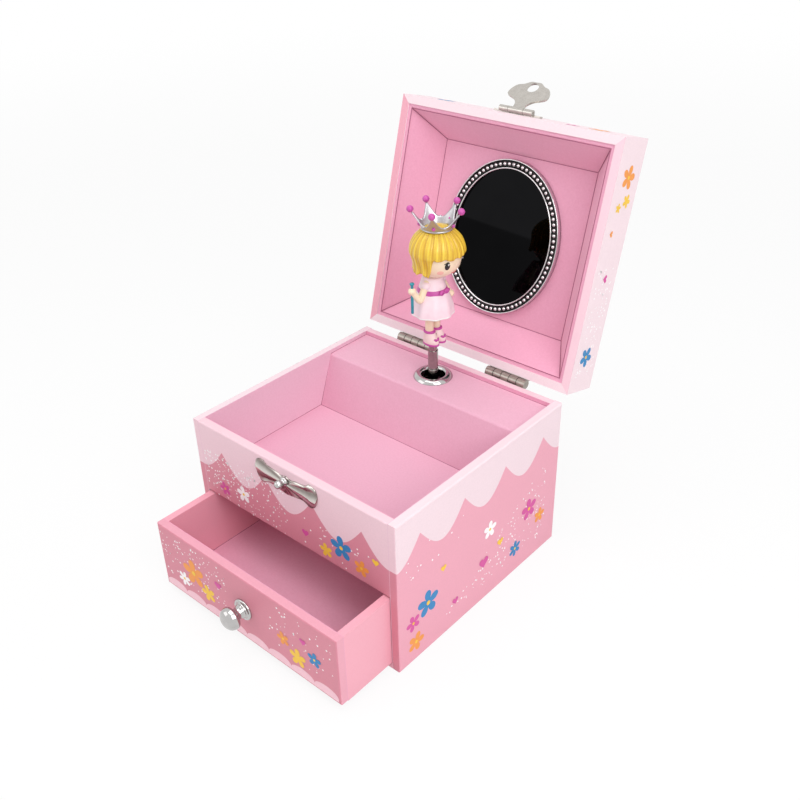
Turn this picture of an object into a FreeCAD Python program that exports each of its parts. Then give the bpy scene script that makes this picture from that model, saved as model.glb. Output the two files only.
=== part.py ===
"""Musical jewellery box: covered-board case with a tray, a drawer and a hinged lid with an oval mirror.

A doll figure stands on a post at the back of the tray. The movement under the platform turns it,
and the post folds forward at its spring as the lid closes. All sizes are millimetres.
The frame: centre of the case's underside, X to the right seen from the front, Y to the back, Z up.
It is drawn as photographed: lid open, drawer pulled part of the way out, figure upright.
"""
import FreeCAD, Part
import math
import os

# case of covered board
case_width = 120.0
case_depth = 113.0
case_height = 77.0
wall = 4.0
bottom_thickness = 3.0
edge_radius = 0.8
curve_count = 3
outline_count = 44
oval_sides = 56
turn_sides = 28
screw_sides = 12
limb_sides = 10
boot_sides = 16
drawer_opening_top = 39.4

# tray and the platform over the movement
tray_floor_top = 49.5
tray_board = 3.5
partition_setback = 36.1
partition_thickness = 3.0
platform_drop = 2.0
platform_foot_setback = 35.1
platform_depth = 25.8
platform_board = 2.0
platform_fold_radius = 1.6

# lid, drawn shut and then turned open
lid_gap = 0.5
lid_depth = 21.0
lid_top_thickness = 3.0
lid_open_angle = 105.5
lining_inset = 13.0
lining_board = 1.2
lining_setback = 0.6

# hinges behind the case
hinge_length = 22.0
hinge_spacing = 55.0
hinge_sheet = 1.0
hinge_leaf_height = 9.0
hinge_barrel_radius = 2.2
hinge_pin_radius = 0.9
hinge_knuckles = 5
hinge_wall_gap = 0.3
hinge_edge_gap = 0.4
knuckle_end_gap = 0.15
hinge_corner_radius = 2.0
screw_shank_radius = 0.8
screw_head_radius = 1.6
screw_head_rise = 0.8
screw_length = 3.6
screw_spread = 13.0
screw_drop = 5.8

# oval mirror on the lid's lining
mirror_side_margin = 11.5
mirror_end_margin = 2.9
mirror_frame_width = 4.6
mirror_frame_height = 3.0
mirror_frame_floor = 1.9
mirror_lip = 1.0
mirror_overlap = 1.2
glass_thickness = 1.2
glass_gap = 0.1

# hasp on the lid's front wall and its catch on the case
hasp_axis_rise = 8.0
hasp_sheet = 0.9
hasp_barrel_radius = 1.4
hasp_pin_radius = 0.6
hasp_wall_gap = 0.3
hasp_leaf_knuckle = 8.0
hasp_base_knuckle = 4.8
hasp_leaf_length = 17.8
hasp_leaf_width = 21.0
hasp_neck_width = 6.6
hasp_hole_drop = 14.4
hasp_hole_radius = 2.8
hasp_base_width = 25.0
hasp_base_height = 8.0
hasp_rest_angle = 135.0
catch_width = 37.0
catch_height = 11.6
catch_sheet = 0.9
catch_plate_drop = 1.7
catch_post_radius = 2.0
catch_post_length = 5.2
catch_rivet_radius = 0.9

# drawer
drawer_out = 30.0
drawer_length = 70.0
drawer_side_gap = 0.4
drawer_run_gap = 0.3
drawer_top_gap = 0.6
drawer_front_board = 4.0
drawer_front_lift = 0.5
drawer_side_board = 3.5
drawer_floor_board = 2.5
drawer_floor_rise = 2.7
knob_radius = 5.3
knob_length = 9.0
knob_neck_radius = 3.1
rosette_radius = 5.1
rosette_height = 1.7
knob_screw_radius = 1.5
knob_screw_depth = 5.0
knob_screw_head_radius = 3.2
knob_screw_head_height = 1.8

# spindle, ring and folding post
spindle_x = -2.5
spindle_setback = 11.0
ring_radius = 9.4
ring_bore_radius = 5.5
ring_wall = 0.6
ring_height = 1.9
ring_sleeve_drop = 3.2
post_radius = 2.4
post_bore_radius = 1.7
post_rod_radius = 2.0
fold_rise = 4.5
fold_gap = 0.2
fold_axis_lead = 0.15
post_step_rise = 14.1
sole_rise = 18.4
rod_grip = 5.0
spring_radius = 1.6
spring_wire = 0.5
spring_reach_down = 15.0
spring_reach_up = 8.0

# doll figure, heights above its soles
hem_height = 15.3
dress_height = 18.6
hem_radius = 9.6
neck_radius = 2.7
head_radius = 11.3
head_bottom = 34.5
head_height = 22.3
head_lead = 2.8
hair_thickness = 1.4
doll_gap = 0.06
fringe_height = 47.5
crown_radius = 6.6
crown_sheet = 0.9
crown_band = 3.2
crown_points = 5
crown_bead_radius = 1.5
crown_tip_radius = 10.6
crown_height = 11.6
shoe_length = 8.6
shoe_width = 5.3
shoe_height = 7.2
leg_radius = 2.0
arm_radius = 1.6
wrist_radius = 1.35
hand_radius = 1.9
wand_radius = 0.65
wand_length = 15.0

# musical movement on the back panel
movement_axis_drop = 27.0
bedplate_thickness = 2.0
bedplate_below_axis = 29.0
bedplate_above_axis = 18.0
bedplate_left = 14.0
bedplate_right = 48.0
crown_wheel_radius = 9.0
crown_wheel_teeth = 36
pinion_teeth = 12
tooth_addendum = 0.42
tooth_dedendum = 0.62
tooth_share = 0.36
pinion_width = 1.4
barrel_radius = 10.6
barrel_wall = 0.9
barrel_clearance = 0.3
arbor_radius = 1.8
arbor_pivot_radius = 1.0
running_clearance = 0.05
mainspring_strip = 0.35
mainspring_turns = 3
lug_thickness = 1.2
lug_radius = 3.0
drum_radius = 6.0
drum_arbor_radius = 1.0
drum_tracks = 18
drum_track_pitch = 1.0
drum_pin_half = 0.22
drum_pin_height = 0.6
drum_pins_per_track = 2
drum_wheel_teeth = 24
governor_pinion_teeth = 8
wheel_width = 1.4
governor_shaft_radius = 0.8
governor_fan_radius = 5.2
governor_fan_length = 5.0
governor_span = 9.0
comb_sheet = 0.8
comb_heel_depth = 2.4
comb_heel_height = 8.0
comb_tip_gap = 0.15
comb_slot = 0.3
comb_long_tooth = 12.0
comb_short_tooth = 8.0
spindle_arm_thickness = 4.0
spindle_arm_radius = 4.2
spindle_collar_radius = 3.4
spindle_collar_height = 1.0
movement_screw_radius = 1.2
movement_screw_head = 2.3
movement_screw_rise = 1.3
key_gap = 0.8
key_stem_radius = 2.7
key_stem_length = 8.0
key_wing_radius = 6.0
key_wing_spread = 6.6
key_sheet = 1.8

X = FreeCAD.Vector(1, 0, 0)
Y = FreeCAD.Vector(0, 1, 0)
Z = FreeCAD.Vector(0, 0, 1)


def vec(x, y, z):
    return FreeCAD.Vector(x, y, z)


def block(x0, x1, y0, y1, z0, z1):
    """Board or bar between the given faces."""
    return Part.makeBox(x1 - x0, y1 - y0, z1 - z0, vec(x0, y0, z0))


def rod(radius, start, direction, length):
    return Part.makeCylinder(radius, length, start, direction)


def tube(outer, inner, start, direction, length):
    return rod(outer, start, direction, length).cut(rod(inner, start, direction, length))


def rounded(start, corner, end):
    """Points of a curve from start to end that rounds the corner, in short straight runs."""
    points = []
    for k in range(1, curve_count + 1):
        t = k / curve_count
        points.append(tuple((1 - t) ** 2 * a + 2 * t * (1 - t) * b + t * t * c
                            for a, b, c in zip(start, corner, end)))
    return points


def sampled(points, runs, closed=False):
    """Points at even steps along a smooth curve through the given ones."""
    curve = Part.BSplineCurve()
    curve.interpolate(points, PeriodicFlag=closed)
    first, last = curve.FirstParameter, curve.LastParameter
    count = runs if closed else runs + 1
    return [curve.value(first + (last - first) * k / runs) for k in range(count)]


def plate(points, depth):
    """Flat piece of the outline through the points, pushed through by depth."""
    return Part.Face(Part.makePolygon(points + points[:1])).extrude(depth)


def lathe(start, steps, sides=turn_sides):
    """Turned solid about Z in flat facets, its profile closed back to start.

    Each step is a (radius, height), or the corner that a curve rounds and the curve's end.
    """
    chain = [start]
    for step in steps:
        if isinstance(step[0], tuple):
            chain += rounded(chain[-1], step[0], step[1])
        else:
            chain.append(step)

    def spot(point, k):
        angle = 2 * math.pi * (k % sides) / sides
        return vec(point[0] * math.cos(angle), point[0] * math.sin(angle), point[1])

    faces = []
    for low, high in zip(chain, chain[1:] + chain[:1]):
        for k in range(sides):
            corners = [spot(low, k)]
            if not near(low[0], 0):
                corners.append(spot(low, k + 1))
            if not near(high[0], 0):
                corners.append(spot(high, k + 1))
            corners.append(spot(high, k))
            if len(corners) > 2:
                faces.append(Part.Face(Part.makePolygon(corners + corners[:1])))
    return Part.Solid(Part.makeShell(faces))


def lathe_curve(points, runs):
    """Turned solid of a smooth profile, its two ends closed towards the axis."""
    ring = [(p.x, p.z) for p in sampled([vec(r, 0, h) for r, h in points], runs)]
    low, high = points[0], points[-1]
    if high[0] > 0:
        ring.append((0, high[1]))
    if low[0] > 0:
        ring.append((0, low[1]))
    return lathe(ring[0], ring[1:])


def skinned(rings):
    """Solid whose flat ends are the first and last rings of points, with triangles between the rings."""
    def face(points):
        return Part.Face(Part.makePolygon(points + points[:1]))
    faces = [face(rings[0]), face(rings[-1])]
    for low, high in zip(rings, rings[1:]):
        for k in range(len(low)):
            n = (k + 1) % len(low)
            faces += [face([low[k], low[n], high[n]]), face([low[k], high[n], high[k]])]
    return Part.Solid(Part.makeShell(faces))


def placed(shape, start, direction=Z):
    """Turned piece set with its axis along direction and its origin at start."""
    copy = shape.copy()
    copy.Placement = FreeCAD.Placement(start, FreeCAD.Rotation(Z, direction))
    return copy


def fused(shapes):
    return shapes[0].multiFuse(shapes[1:]).removeSplitter()


def cut_all(shape, tools):
    for tool in tools:
        shape = shape.cut(tool)
    return shape


def soften(shape, radius, pick):
    """Round the edges whose middle point the pick function accepts."""
    edges = [e for e in shape.Edges if pick(e.valueAt((e.FirstParameter + e.LastParameter) / 2), e)]
    return shape.makeFillet(radius, edges)


def near(a, b):
    return abs(a - b) < 1e-6


def oval(half_x, half_y, z0, z1):
    """Elliptical prism about Z, the longer axis along Y."""
    turn = [2 * math.pi * k / oval_sides for k in range(oval_sides)]
    return plate([vec(half_x * math.cos(a), half_y * math.sin(a), z0) for a in turn], vec(0, 0, z1 - z0))


def toothed_disc(teeth, pitch_radius, width, phase):
    """Spur wheel about Z with straight-flanked teeth; phase is the angle of one tooth's middle."""
    pitch = 2 * math.pi * pitch_radius / teeth
    root = pitch_radius - tooth_dedendum
    tip = pitch_radius + tooth_addendum
    half = tooth_share * pitch / 2
    flank = 0.36
    ring = []
    for k in range(teeth):
        middle = math.radians(phase) + 2 * math.pi * k / teeth
        for radius, side in ((root, -1), (tip, -1), (tip, 1), (root, 1)):
            offset = half - flank * (radius - pitch_radius)
            angle = middle + side * offset / radius
            ring.append(vec(radius * math.cos(angle), radius * math.sin(angle), 0))
    return plate(ring, vec(0, 0, width))


def save(name, shape):
    if shape.ShapeType == "Compound" and len(shape.Solids) == 1:
        shape = shape.Solids[0]
    shape.exportStep("parts/" + name + ".step")


os.makedirs("parts", exist_ok=True)

# levels and faces that several pieces share
half_width = case_width / 2
front_face = -case_depth / 2
back_face = case_depth / 2
inner_half = half_width - wall
front_inside = front_face + wall
back_inside = back_face - wall
partition_front = back_inside - partition_setback
partition_back = partition_front + partition_thickness
platform_top = case_height - platform_drop
platform_foot = back_inside - platform_foot_setback
platform_brow = back_inside - platform_depth
spindle_y = back_inside - spindle_setback
movement_axis_z = platform_top - movement_axis_drop
bedplate_low = movement_axis_z - bedplate_below_axis
bedplate_high = movement_axis_z + bedplate_above_axis
tray_floor_under = tray_floor_top - tray_board
lid_rim = case_height + lid_gap
lid_ceiling_board = lid_rim + lid_depth - lid_top_thickness
lining_ceiling = lid_ceiling_board - lining_board
hinge_y = back_face + hinge_barrel_radius + hinge_wall_gap
hinge_z = case_height + lid_gap / 2
hasp_y = front_face - hasp_barrel_radius - hasp_wall_gap
hasp_z = lid_rim + hasp_axis_rise
catch_z = hasp_z - hasp_hole_drop
bedplate_face = back_inside - bedplate_thickness
pinion_radius = crown_wheel_radius * pinion_teeth / crown_wheel_teeth
crown_pitch_y = spindle_y + pinion_radius
barrel_front = crown_pitch_y + tooth_dedendum
barrel_back = bedplate_face - barrel_clearance
pinion_z = movement_axis_z + crown_wheel_radius
fold_z = platform_top + fold_rise
sole_z = platform_top + sole_rise
hinge_centres = (-hinge_spacing / 2, hinge_spacing / 2)


def opened(shape):
    """Lid piece drawn shut, turned open about the hinge line."""
    copy = shape.copy()
    copy.rotate(vec(0, hinge_y, hinge_z), X, -lid_open_angle)
    return copy


def small_screw(start, direction, length, shank, head, rise):
    """Round-head screw: the head stands on start, and the shank runs along direction."""
    body = lathe((0, -rise), [(0.75 * head, -rise), (head, 0), (shank, 0), (shank, length), (0, length)],
                 screw_sides)
    return placed(body, start, direction)


# case: sides run the full depth, front, back and bottom stand between them
def hinge_screw_places(side):
    """Screw starts on the outer face of the leaves: side -1 is the case, 1 is the lid."""
    return [vec(x + dx, back_face + hinge_sheet, hinge_z + side * screw_drop)
            for x in hinge_centres for dx in (-screw_spread / 2, screw_spread / 2)]


def hinge_screw_holes(side):
    return [rod(screw_shank_radius + running_clearance, p, -Y, screw_length + running_clearance)
            for p in hinge_screw_places(side)]


movement_screw_places = [
    (spindle_x - bedplate_left + 4.0, bedplate_low + 4.0),
    (spindle_x + bedplate_right - 4.0, bedplate_low + 4.0),
    (spindle_x + bedplate_right - 4.0, bedplate_high - 4.0),
]
movement_screw_length = wall + bedplate_thickness


def side_panel(sign):
    x_outer = sign * half_width
    board = block(min(sign * inner_half, x_outer), max(sign * inner_half, x_outer),
                  front_face, back_face, 0, case_height)
    return soften(board, edge_radius, lambda p, e: near(p.x, x_outer))


def back_board():
    board = block(-inner_half, inner_half, back_inside, back_face, 0, case_height)
    board = soften(board, edge_radius, lambda p, e: near(p.y, back_face) and near(p.z, case_height))
    holes = [rod(arbor_radius + key_gap, vec(spindle_x, back_inside, movement_axis_z), Y, wall)]
    for x, z in movement_screw_places:
        holes.append(rod(movement_screw_radius + running_clearance, vec(x, back_inside, z), Y, wall))
    holes += hinge_screw_holes(-1)
    return cut_all(board, holes)


def front_board():
    board = block(-inner_half, inner_half, front_face, front_inside, drawer_opening_top, case_height)
    board = soften(board, edge_radius, lambda p, e: near(p.y, front_face) and abs(e.tangentAt(0).x) > 0.9)
    return board.cut(rod(catch_rivet_radius + running_clearance, vec(0, front_face, catch_z), Y, wall))


save("left_side_panel", side_panel(-1))
save("right_side_panel", side_panel(1))
save("back_panel", back_board())
save("front_panel", front_board())
save("bottom_panel", block(-inner_half, inner_half, front_face, back_inside, 0, bottom_thickness))
save("movement_partition", block(-inner_half, inner_half, partition_front, partition_back,
                                 bottom_thickness, tray_floor_under))
save("tray_floor", block(-inner_half, inner_half, front_inside, partition_back,
                         tray_floor_under, tray_floor_top))


# platform: one board folded over the movement, slanted in front and flat on top
def platform():
    rise = platform_top - tray_floor_top
    run = platform_brow - platform_foot
    slant = math.hypot(rise, run)
    foot_inside = platform_foot + platform_board * slant / rise
    brow_inside = foot_inside + (rise - platform_board) * run / rise
    under = platform_top - platform_board
    points = [(platform_foot, tray_floor_top), (platform_brow, platform_top),
              (back_inside, platform_top), (back_inside, under), (brow_inside, under),
              (foot_inside, tray_floor_top)]
    board = plate([vec(-inner_half, y, z) for y, z in points], vec(2 * inner_half, 0, 0))
    board = soften(board, platform_fold_radius,
                   lambda p, e: near(p.y, platform_brow) and near(p.z, platform_top))
    return board.cut(rod(ring_bore_radius + ring_wall + running_clearance,
                         vec(spindle_x, spindle_y, under), Z, platform_board))


save("platform_cover", platform())

ring_sleeve = ring_bore_radius + ring_wall
ring_crest = ring_bore_radius + 0.4 * (ring_radius - ring_bore_radius)
spindle_ring = lathe((ring_bore_radius, -ring_sleeve_drop), [
    (ring_bore_radius, 0.45 * ring_height), ((ring_bore_radius, ring_height), (ring_crest, ring_height)),
    ((ring_radius, ring_height), (ring_radius, 0.12 * ring_height)),
    (ring_radius, 0), (ring_sleeve, 0), (ring_sleeve, -ring_sleeve_drop)])
save("spindle_ring", placed(spindle_ring, vec(spindle_x, spindle_y, platform_top)))


# hinges: each leaf is a plate with knuckles, the lid's leaf is the case's leaf turned over
def hinge_leaf(centre, side):
    """side -1 is the case's leaf below the hinge line, 1 is the lid's leaf above it."""
    first = centre - hinge_length / 2
    step = hinge_length / hinge_knuckles
    near_edge = hinge_z + side * hinge_edge_gap
    far_edge = hinge_z + side * hinge_leaf_height
    leaf = block(first, first + hinge_length, back_face, back_face + hinge_sheet,
                 min(near_edge, far_edge), max(near_edge, far_edge))
    leaf = soften(leaf, hinge_corner_radius, lambda p,
                  e: near(p.z, far_edge) and abs(e.tangentAt(0).y) > 0.9)
    own = 0 if side < 0 else 1
    barrels = []
    for k in range(hinge_knuckles):
        x0 = first + k * step
        if k % 2 == own:
            x1 = x0 + (0 if k == 0 else knuckle_end_gap / 2)
            x2 = x0 + step - (0 if k == hinge_knuckles - 1 else knuckle_end_gap / 2)
            barrels.append(rod(hinge_barrel_radius, vec(x1, hinge_y, hinge_z), X, x2 - x1))
            low, high = sorted((near_edge, hinge_z + side * hinge_barrel_radius))
            barrels.append(block(x1, x2, back_face, hinge_y, low, high))
        else:
            leaf = leaf.cut(rod(hinge_barrel_radius + hinge_wall_gap,
                                vec(x0 - knuckle_end_gap / 2, hinge_y, hinge_z), X,
                                step + knuckle_end_gap))
    leaf = fused([leaf] + barrels)
    leaf = leaf.cut(rod(hinge_pin_radius + running_clearance, vec(first, hinge_y, hinge_z), X,
                        hinge_length))
    return cut_all(leaf, hinge_screw_holes(side))


def hinge_screws(side):
    return Part.makeCompound([small_screw(p, -Y, screw_length, screw_shank_radius, screw_head_radius,
                                          screw_head_rise)
                              for p in hinge_screw_places(side)])


for name, centre in zip(("left", "right"), hinge_centres):
    save(name + "_hinge_case_leaf", hinge_leaf(centre, -1))
    save(name + "_hinge_lid_leaf", opened(hinge_leaf(centre, 1)))
save("hinge_pins", Part.makeCompound([
    rod(hinge_pin_radius, vec(c - hinge_length / 2, hinge_y, hinge_z), X,
        hinge_length) for c in hinge_centres]))
save("hinge_case_screws", hinge_screws(-1))
save("hinge_lid_screws", opened(hinge_screws(1)))


# lid: mitred walls under a top panel
def lid_wall(corners):
    return plate([vec(x, y, lid_rim) for x, y in corners], vec(0, 0, lid_ceiling_board - lid_rim))


outer_corners = [(-half_width, front_face), (half_width, front_face), (half_width, back_face),
                 (-half_width, back_face)]
inner_corners = [(-inner_half, front_inside), (inner_half, front_inside), (inner_half, back_inside),
                 (-inner_half, back_inside)]
for k, name in enumerate(("front", "right", "back", "left")):
    n = (k + 1) % 4
    board = lid_wall([outer_corners[k], outer_corners[n], inner_corners[n], inner_corners[k]])
    if name == "back":
        board = cut_all(board, hinge_screw_holes(1))
    save("lid_" + name + "_wall", opened(board))

lid_panel = block(-half_width, half_width, front_face, back_face, lid_ceiling_board, lid_rim + lid_depth)
save("lid_top_panel", opened(soften(lid_panel, edge_radius, lambda p, e: near(p.z, lid_rim + lid_depth))))


# lining: a card tray whose four flaps slant from the rim to the ceiling
def frustum(x_low, y_low, z_low, x_high, y_high, z_high):
    rings = [[vec(-x, -y, z), vec(x, -y, z), vec(x, y, z), vec(-x, y, z)]
             for x, y, z in ((x_low, y_low, z_low), (x_high, y_high, z_high))]
    return skinned(rings)


def lid_lining():
    low = lid_rim + lining_setback
    height = lid_ceiling_board - low
    across = lining_board * math.hypot(lining_inset, height) / height
    half_y = back_inside
    outside = frustum(inner_half, half_y, low, inner_half - lining_inset, half_y - lining_inset,
                      lid_ceiling_board)
    slope = lining_inset / height
    ceiling_run = (height - lining_board) * slope
    inside = frustum(inner_half - across, half_y - across, low, inner_half - across - ceiling_run,
                     half_y - across - ceiling_run, lining_ceiling)
    return outside.cut(inside)


save("lid_lining", opened(lid_lining()))

# oval mirror: glass in a frame with two raised lips and a channel between them
mirror_x = inner_half - lining_inset - mirror_side_margin
mirror_y = back_inside - lining_inset - mirror_end_margin
sight_x = mirror_x - mirror_frame_width
sight_y = mirror_y - mirror_frame_width
glass_x = sight_x + mirror_overlap
glass_y = sight_y + mirror_overlap
frame_seat = lining_ceiling - glass_thickness - glass_gap
frame_floor = lining_ceiling - mirror_frame_floor
frame_crest = lining_ceiling - mirror_frame_height
mirror_frame = oval(mirror_x, mirror_y, frame_crest, lining_ceiling)
mirror_frame = cut_all(mirror_frame, [
    oval(sight_x, sight_y, frame_crest, lining_ceiling),
    oval(glass_x + glass_gap, glass_y + glass_gap, frame_seat, lining_ceiling),
    oval(mirror_x - mirror_lip, mirror_y - mirror_lip, frame_crest, frame_floor).cut(
        oval(sight_x + mirror_lip, sight_y + mirror_lip, frame_crest, frame_floor))])
save("mirror_frame", opened(mirror_frame))
save("mirror_glass", opened(oval(glass_x, glass_y, lining_ceiling - glass_thickness, lining_ceiling)))


# hasp: the leaf swings on a pin between the base's two knuckles
def hasp_outline():
    """Half outline of the leaf, from the neck to the tip: distance from the middle and drop."""
    neck = hasp_neck_width / 2
    wing = hasp_leaf_width / 2
    return [(neck, 0), (neck, 0.22 * hasp_leaf_length), (0.62 * wing, 0.38 * hasp_leaf_length),
            (wing, 0.5 * hasp_leaf_length), (0.98 * wing, 0.68 * hasp_leaf_length),
            (0.76 * wing, 0.85 * hasp_leaf_length), (0.5 * wing, 0.9 * hasp_leaf_length),
            (0.26 * wing, hasp_leaf_length), (0, hasp_leaf_length)]


def smooth_outline(half, y, z, sign):
    """Closed face, symmetric about x = 0, through the half outline; sign -1 hangs it down from z."""
    right = [vec(x, y, z + sign * d) for x, d in half]
    left = [vec(-x, y, z + sign * d) for x, d in reversed(half[:-1])]
    ring = sampled(right + left, outline_count)
    return Part.Face(Part.makePolygon(ring + ring[:1]))


def hasp_barrel(x0, x1):
    return rod(hasp_barrel_radius, vec(x0, hasp_y, hasp_z), X, x1 - x0)


def hung_back(shape):
    """Hasp leaf drawn hanging over the catch, swung out to where it stands in the open lid."""
    copy = shape.copy()
    copy.rotate(vec(0, hasp_y, hasp_z), X, -hasp_rest_angle)
    return opened(copy)


hasp_bore = rod(hasp_pin_radius + running_clearance, vec(-half_width, hasp_y, hasp_z), X, case_width)
leaf_half = hasp_leaf_knuckle / 2
leaf_face = smooth_outline(hasp_outline(), hasp_y - hasp_sheet / 2, hasp_z, -1)
hasp_leaf = fused([leaf_face.extrude(vec(0, hasp_sheet, 0)), hasp_barrel(-leaf_half, leaf_half)])
hasp_leaf = cut_all(hasp_leaf, [hasp_bore, rod(hasp_hole_radius, vec(0, hasp_y - hasp_sheet, catch_z), Y,
                                               2 * hasp_sheet)])
save("hasp_leaf", hung_back(hasp_leaf))

base_start = leaf_half + knuckle_end_gap
base_end = base_start + hasp_base_knuckle
base_low = hasp_barrel_radius + hasp_wall_gap
half_base = hasp_base_width / 2
base_curve = [(half_base, 0), (half_base, 0.3 * hasp_base_height),
              (0.72 * half_base, 0.42 * hasp_base_height),
              (0.5 * half_base, 0.7 * hasp_base_height), (0.2 * half_base, hasp_base_height),
              (0, hasp_base_height)]
base_plate = smooth_outline(base_curve, front_face - hasp_sheet, hasp_z + hasp_wall_gap, 1)
base_pieces = [base_plate.extrude(vec(0, hasp_sheet, 0))]
for x0, x1 in ((-base_end, -base_start), (base_start, base_end)):
    base_pieces.append(hasp_barrel(x0, x1))
    base_pieces.append(block(x0, x1, hasp_y, front_face, hasp_z + hasp_wall_gap,
                             hasp_z + hasp_barrel_radius))
hasp_base = fused(base_pieces).cut(hasp_bore)
hasp_base = hasp_base.cut(rod(hasp_barrel_radius + hasp_wall_gap, vec(-base_start, hasp_y, hasp_z), X,
                              2 * base_start))
save("hasp_base", opened(hasp_base))
save("hasp_pin", opened(rod(hasp_pin_radius, vec(-base_end, hasp_y, hasp_z), X, 2 * base_end)))


# catch: an ornamental plate like a tied bow, with the post riveted through its middle
def catch_bow():
    arm = catch_width / 2
    tall = catch_height / 2
    half = [(0, 0.62 * tall), (0.16 * arm, 0.5 * tall), (0.32 * arm, 0.62 * tall), (0.6 * arm, 0.72 * tall),
            (0.74 * arm, tall), (0.93 * arm, 0.86 * tall), (arm, 0.2 * tall), (0.93 * arm, -0.6 * tall),
            (0.76 * arm, -0.96 * tall), (0.56 * arm, -0.7 * tall), (0.34 * arm, -0.78 * tall),
            (0.16 * arm, -0.9 * tall), (0, -tall)]
    middle = catch_z - catch_plate_drop
    ring = [vec(x, front_face - catch_sheet, middle + z) for x, z in half]
    ring += [vec(-x, front_face - catch_sheet, middle + z) for x, z in reversed(half[1:-1])]
    return plate(sampled(ring, 2 * outline_count, True), vec(0, catch_sheet, 0))


save("catch_plate", catch_bow().cut(rod(catch_rivet_radius + running_clearance,
                                        vec(0, front_face - catch_sheet, catch_z), Y, catch_sheet)))
catch_post = lathe((0, -catch_sheet - wall), [
    (catch_rivet_radius, -catch_sheet - wall), (catch_rivet_radius, 0), (catch_post_radius, 0),
    (catch_post_radius, 0.16 * catch_post_length), (0.72 * catch_post_radius, 0.28 * catch_post_length),
    (0.72 * catch_post_radius, 0.42 * catch_post_length),
    (0.92 * catch_post_radius, 0.58 * catch_post_length),
    ((0.92 * catch_post_radius, catch_post_length), (0, catch_post_length))])
save("catch_post", placed(catch_post, vec(0, front_face - catch_sheet, catch_z), -Y))

# drawer: a plain open box behind a flush front, drawn as far out as photographed
drawer_half = inner_half - drawer_side_gap
drawer_face = front_face - drawer_out
drawer_low = bottom_thickness + drawer_run_gap
drawer_high = drawer_opening_top - drawer_top_gap
drawer_back_face = drawer_face + drawer_length
drawer_side_start = drawer_face + drawer_front_board
drawer_inner = drawer_half - drawer_side_board
drawer_floor_under = drawer_low + drawer_floor_rise
knob_z = (drawer_low + drawer_front_lift + drawer_high) / 2
knob_screw_bore = rod(knob_screw_radius + running_clearance, vec(0, drawer_face, knob_z), Y,
                      drawer_front_board)
drawer_front = block(-drawer_half, drawer_half, drawer_face, drawer_side_start,
                     drawer_low + drawer_front_lift, drawer_high)
drawer_front = soften(drawer_front, edge_radius, lambda p, e: near(p.y, drawer_face))
save("drawer_front", drawer_front.cut(knob_screw_bore))
save("drawer_left_side", block(-drawer_half, -drawer_inner, drawer_side_start, drawer_back_face, drawer_low,
                               drawer_high))
save("drawer_right_side", block(drawer_inner, drawer_half, drawer_side_start, drawer_back_face, drawer_low,
                                drawer_high))
save("drawer_back", block(-drawer_inner, drawer_inner, drawer_back_face - drawer_side_board,
                          drawer_back_face,
                          drawer_low, drawer_high))
save("drawer_bottom", block(-drawer_inner, drawer_inner, drawer_side_start,
                            drawer_back_face - drawer_side_board,
                            drawer_floor_under, drawer_floor_under + drawer_floor_board))

knob_screw_hole = knob_screw_radius + running_clearance
knob_rosette = lathe((knob_screw_hole, 0), [
    (rosette_radius, 0), (rosette_radius, 0.25 * rosette_height),
    ((rosette_radius, 0.66 * rosette_height), (0.8 * rosette_radius, 0.66 * rosette_height)),
    (0.74 * rosette_radius, rosette_height), (knob_screw_hole, rosette_height)])
save("knob_rosette", placed(knob_rosette, vec(0, drawer_face, knob_z), -Y))
knob_head = 0.44 * knob_length
drawer_knob = lathe((knob_screw_hole, 0), [
    (knob_neck_radius * 1.12, 0), (knob_neck_radius, 0.08 * knob_length),
    (0.86 * knob_neck_radius, 0.28 * knob_length), (knob_neck_radius, knob_head),
    ((knob_radius, knob_head), (knob_radius, 0.62 * knob_length)),
    ((knob_radius, knob_length), (0, knob_length)),
    (0, knob_screw_depth), (knob_screw_hole, knob_screw_depth)])
save("drawer_knob", placed(drawer_knob, vec(0, drawer_face - rosette_height, knob_z), -Y))
knob_screw_length = drawer_front_board + rosette_height + knob_screw_depth - 0.3
knob_screw = small_screw(vec(0, drawer_side_start, knob_z), -Y, knob_screw_length, knob_screw_radius,
                         knob_screw_head_radius, knob_screw_head_height)
save("knob_screw", knob_screw)

# spindle: the pinion's shank carries the tube, which rises through the ring to the fold
arm_low = movement_axis_z + barrel_radius + 1.4
arm_high = arm_low + spindle_arm_thickness
shank_radius = post_bore_radius - running_clearance
shank_top = arm_high
tube_low = arm_low - 0.8
spindle_axis = vec(spindle_x, spindle_y, 0)
spindle_tube = fused([rod(post_radius, vec(0, 0, tube_low), Z, fold_z - tube_low),
                      rod(spindle_collar_radius, vec(0, 0, arm_high), Z, spindle_collar_height)])
spindle_tube = spindle_tube.cut(rod(post_bore_radius, vec(0, 0, tube_low), Z, fold_z - tube_low))
save("spindle_tube", placed(spindle_tube, spindle_axis))
pinion = placed(toothed_disc(pinion_teeth, pinion_radius, pinion_width, 90),
                vec(0, 0, pinion_z - pinion_width / 2))
spindle_pinion = fused([pinion, rod(shank_radius, vec(0, 0, pinion_z), Z, shank_top - pinion_z)])
save("spindle_pinion", placed(spindle_pinion, spindle_axis))

# post: a close-wound spring in the tube lets the upper tube and the figure fold forward
save("post_spring", placed(tube(spring_radius, spring_radius - spring_wire,
                                vec(0, 0, fold_z - spring_reach_down), Z,
                                spring_reach_down + spring_reach_up), spindle_axis))
post_low = fold_z + fold_gap
post_step = platform_top + post_step_rise
figure_post = fused([rod(post_radius, vec(0, 0, post_low), Z, post_step - post_low),
                     rod(post_rod_radius, vec(0, 0, post_step), Z, sole_z + rod_grip - post_step)])
figure_post = figure_post.cut(rod(post_bore_radius, vec(0, 0, post_low), Z, spring_reach_up))
save("figure_post", placed(figure_post, spindle_axis))

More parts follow.
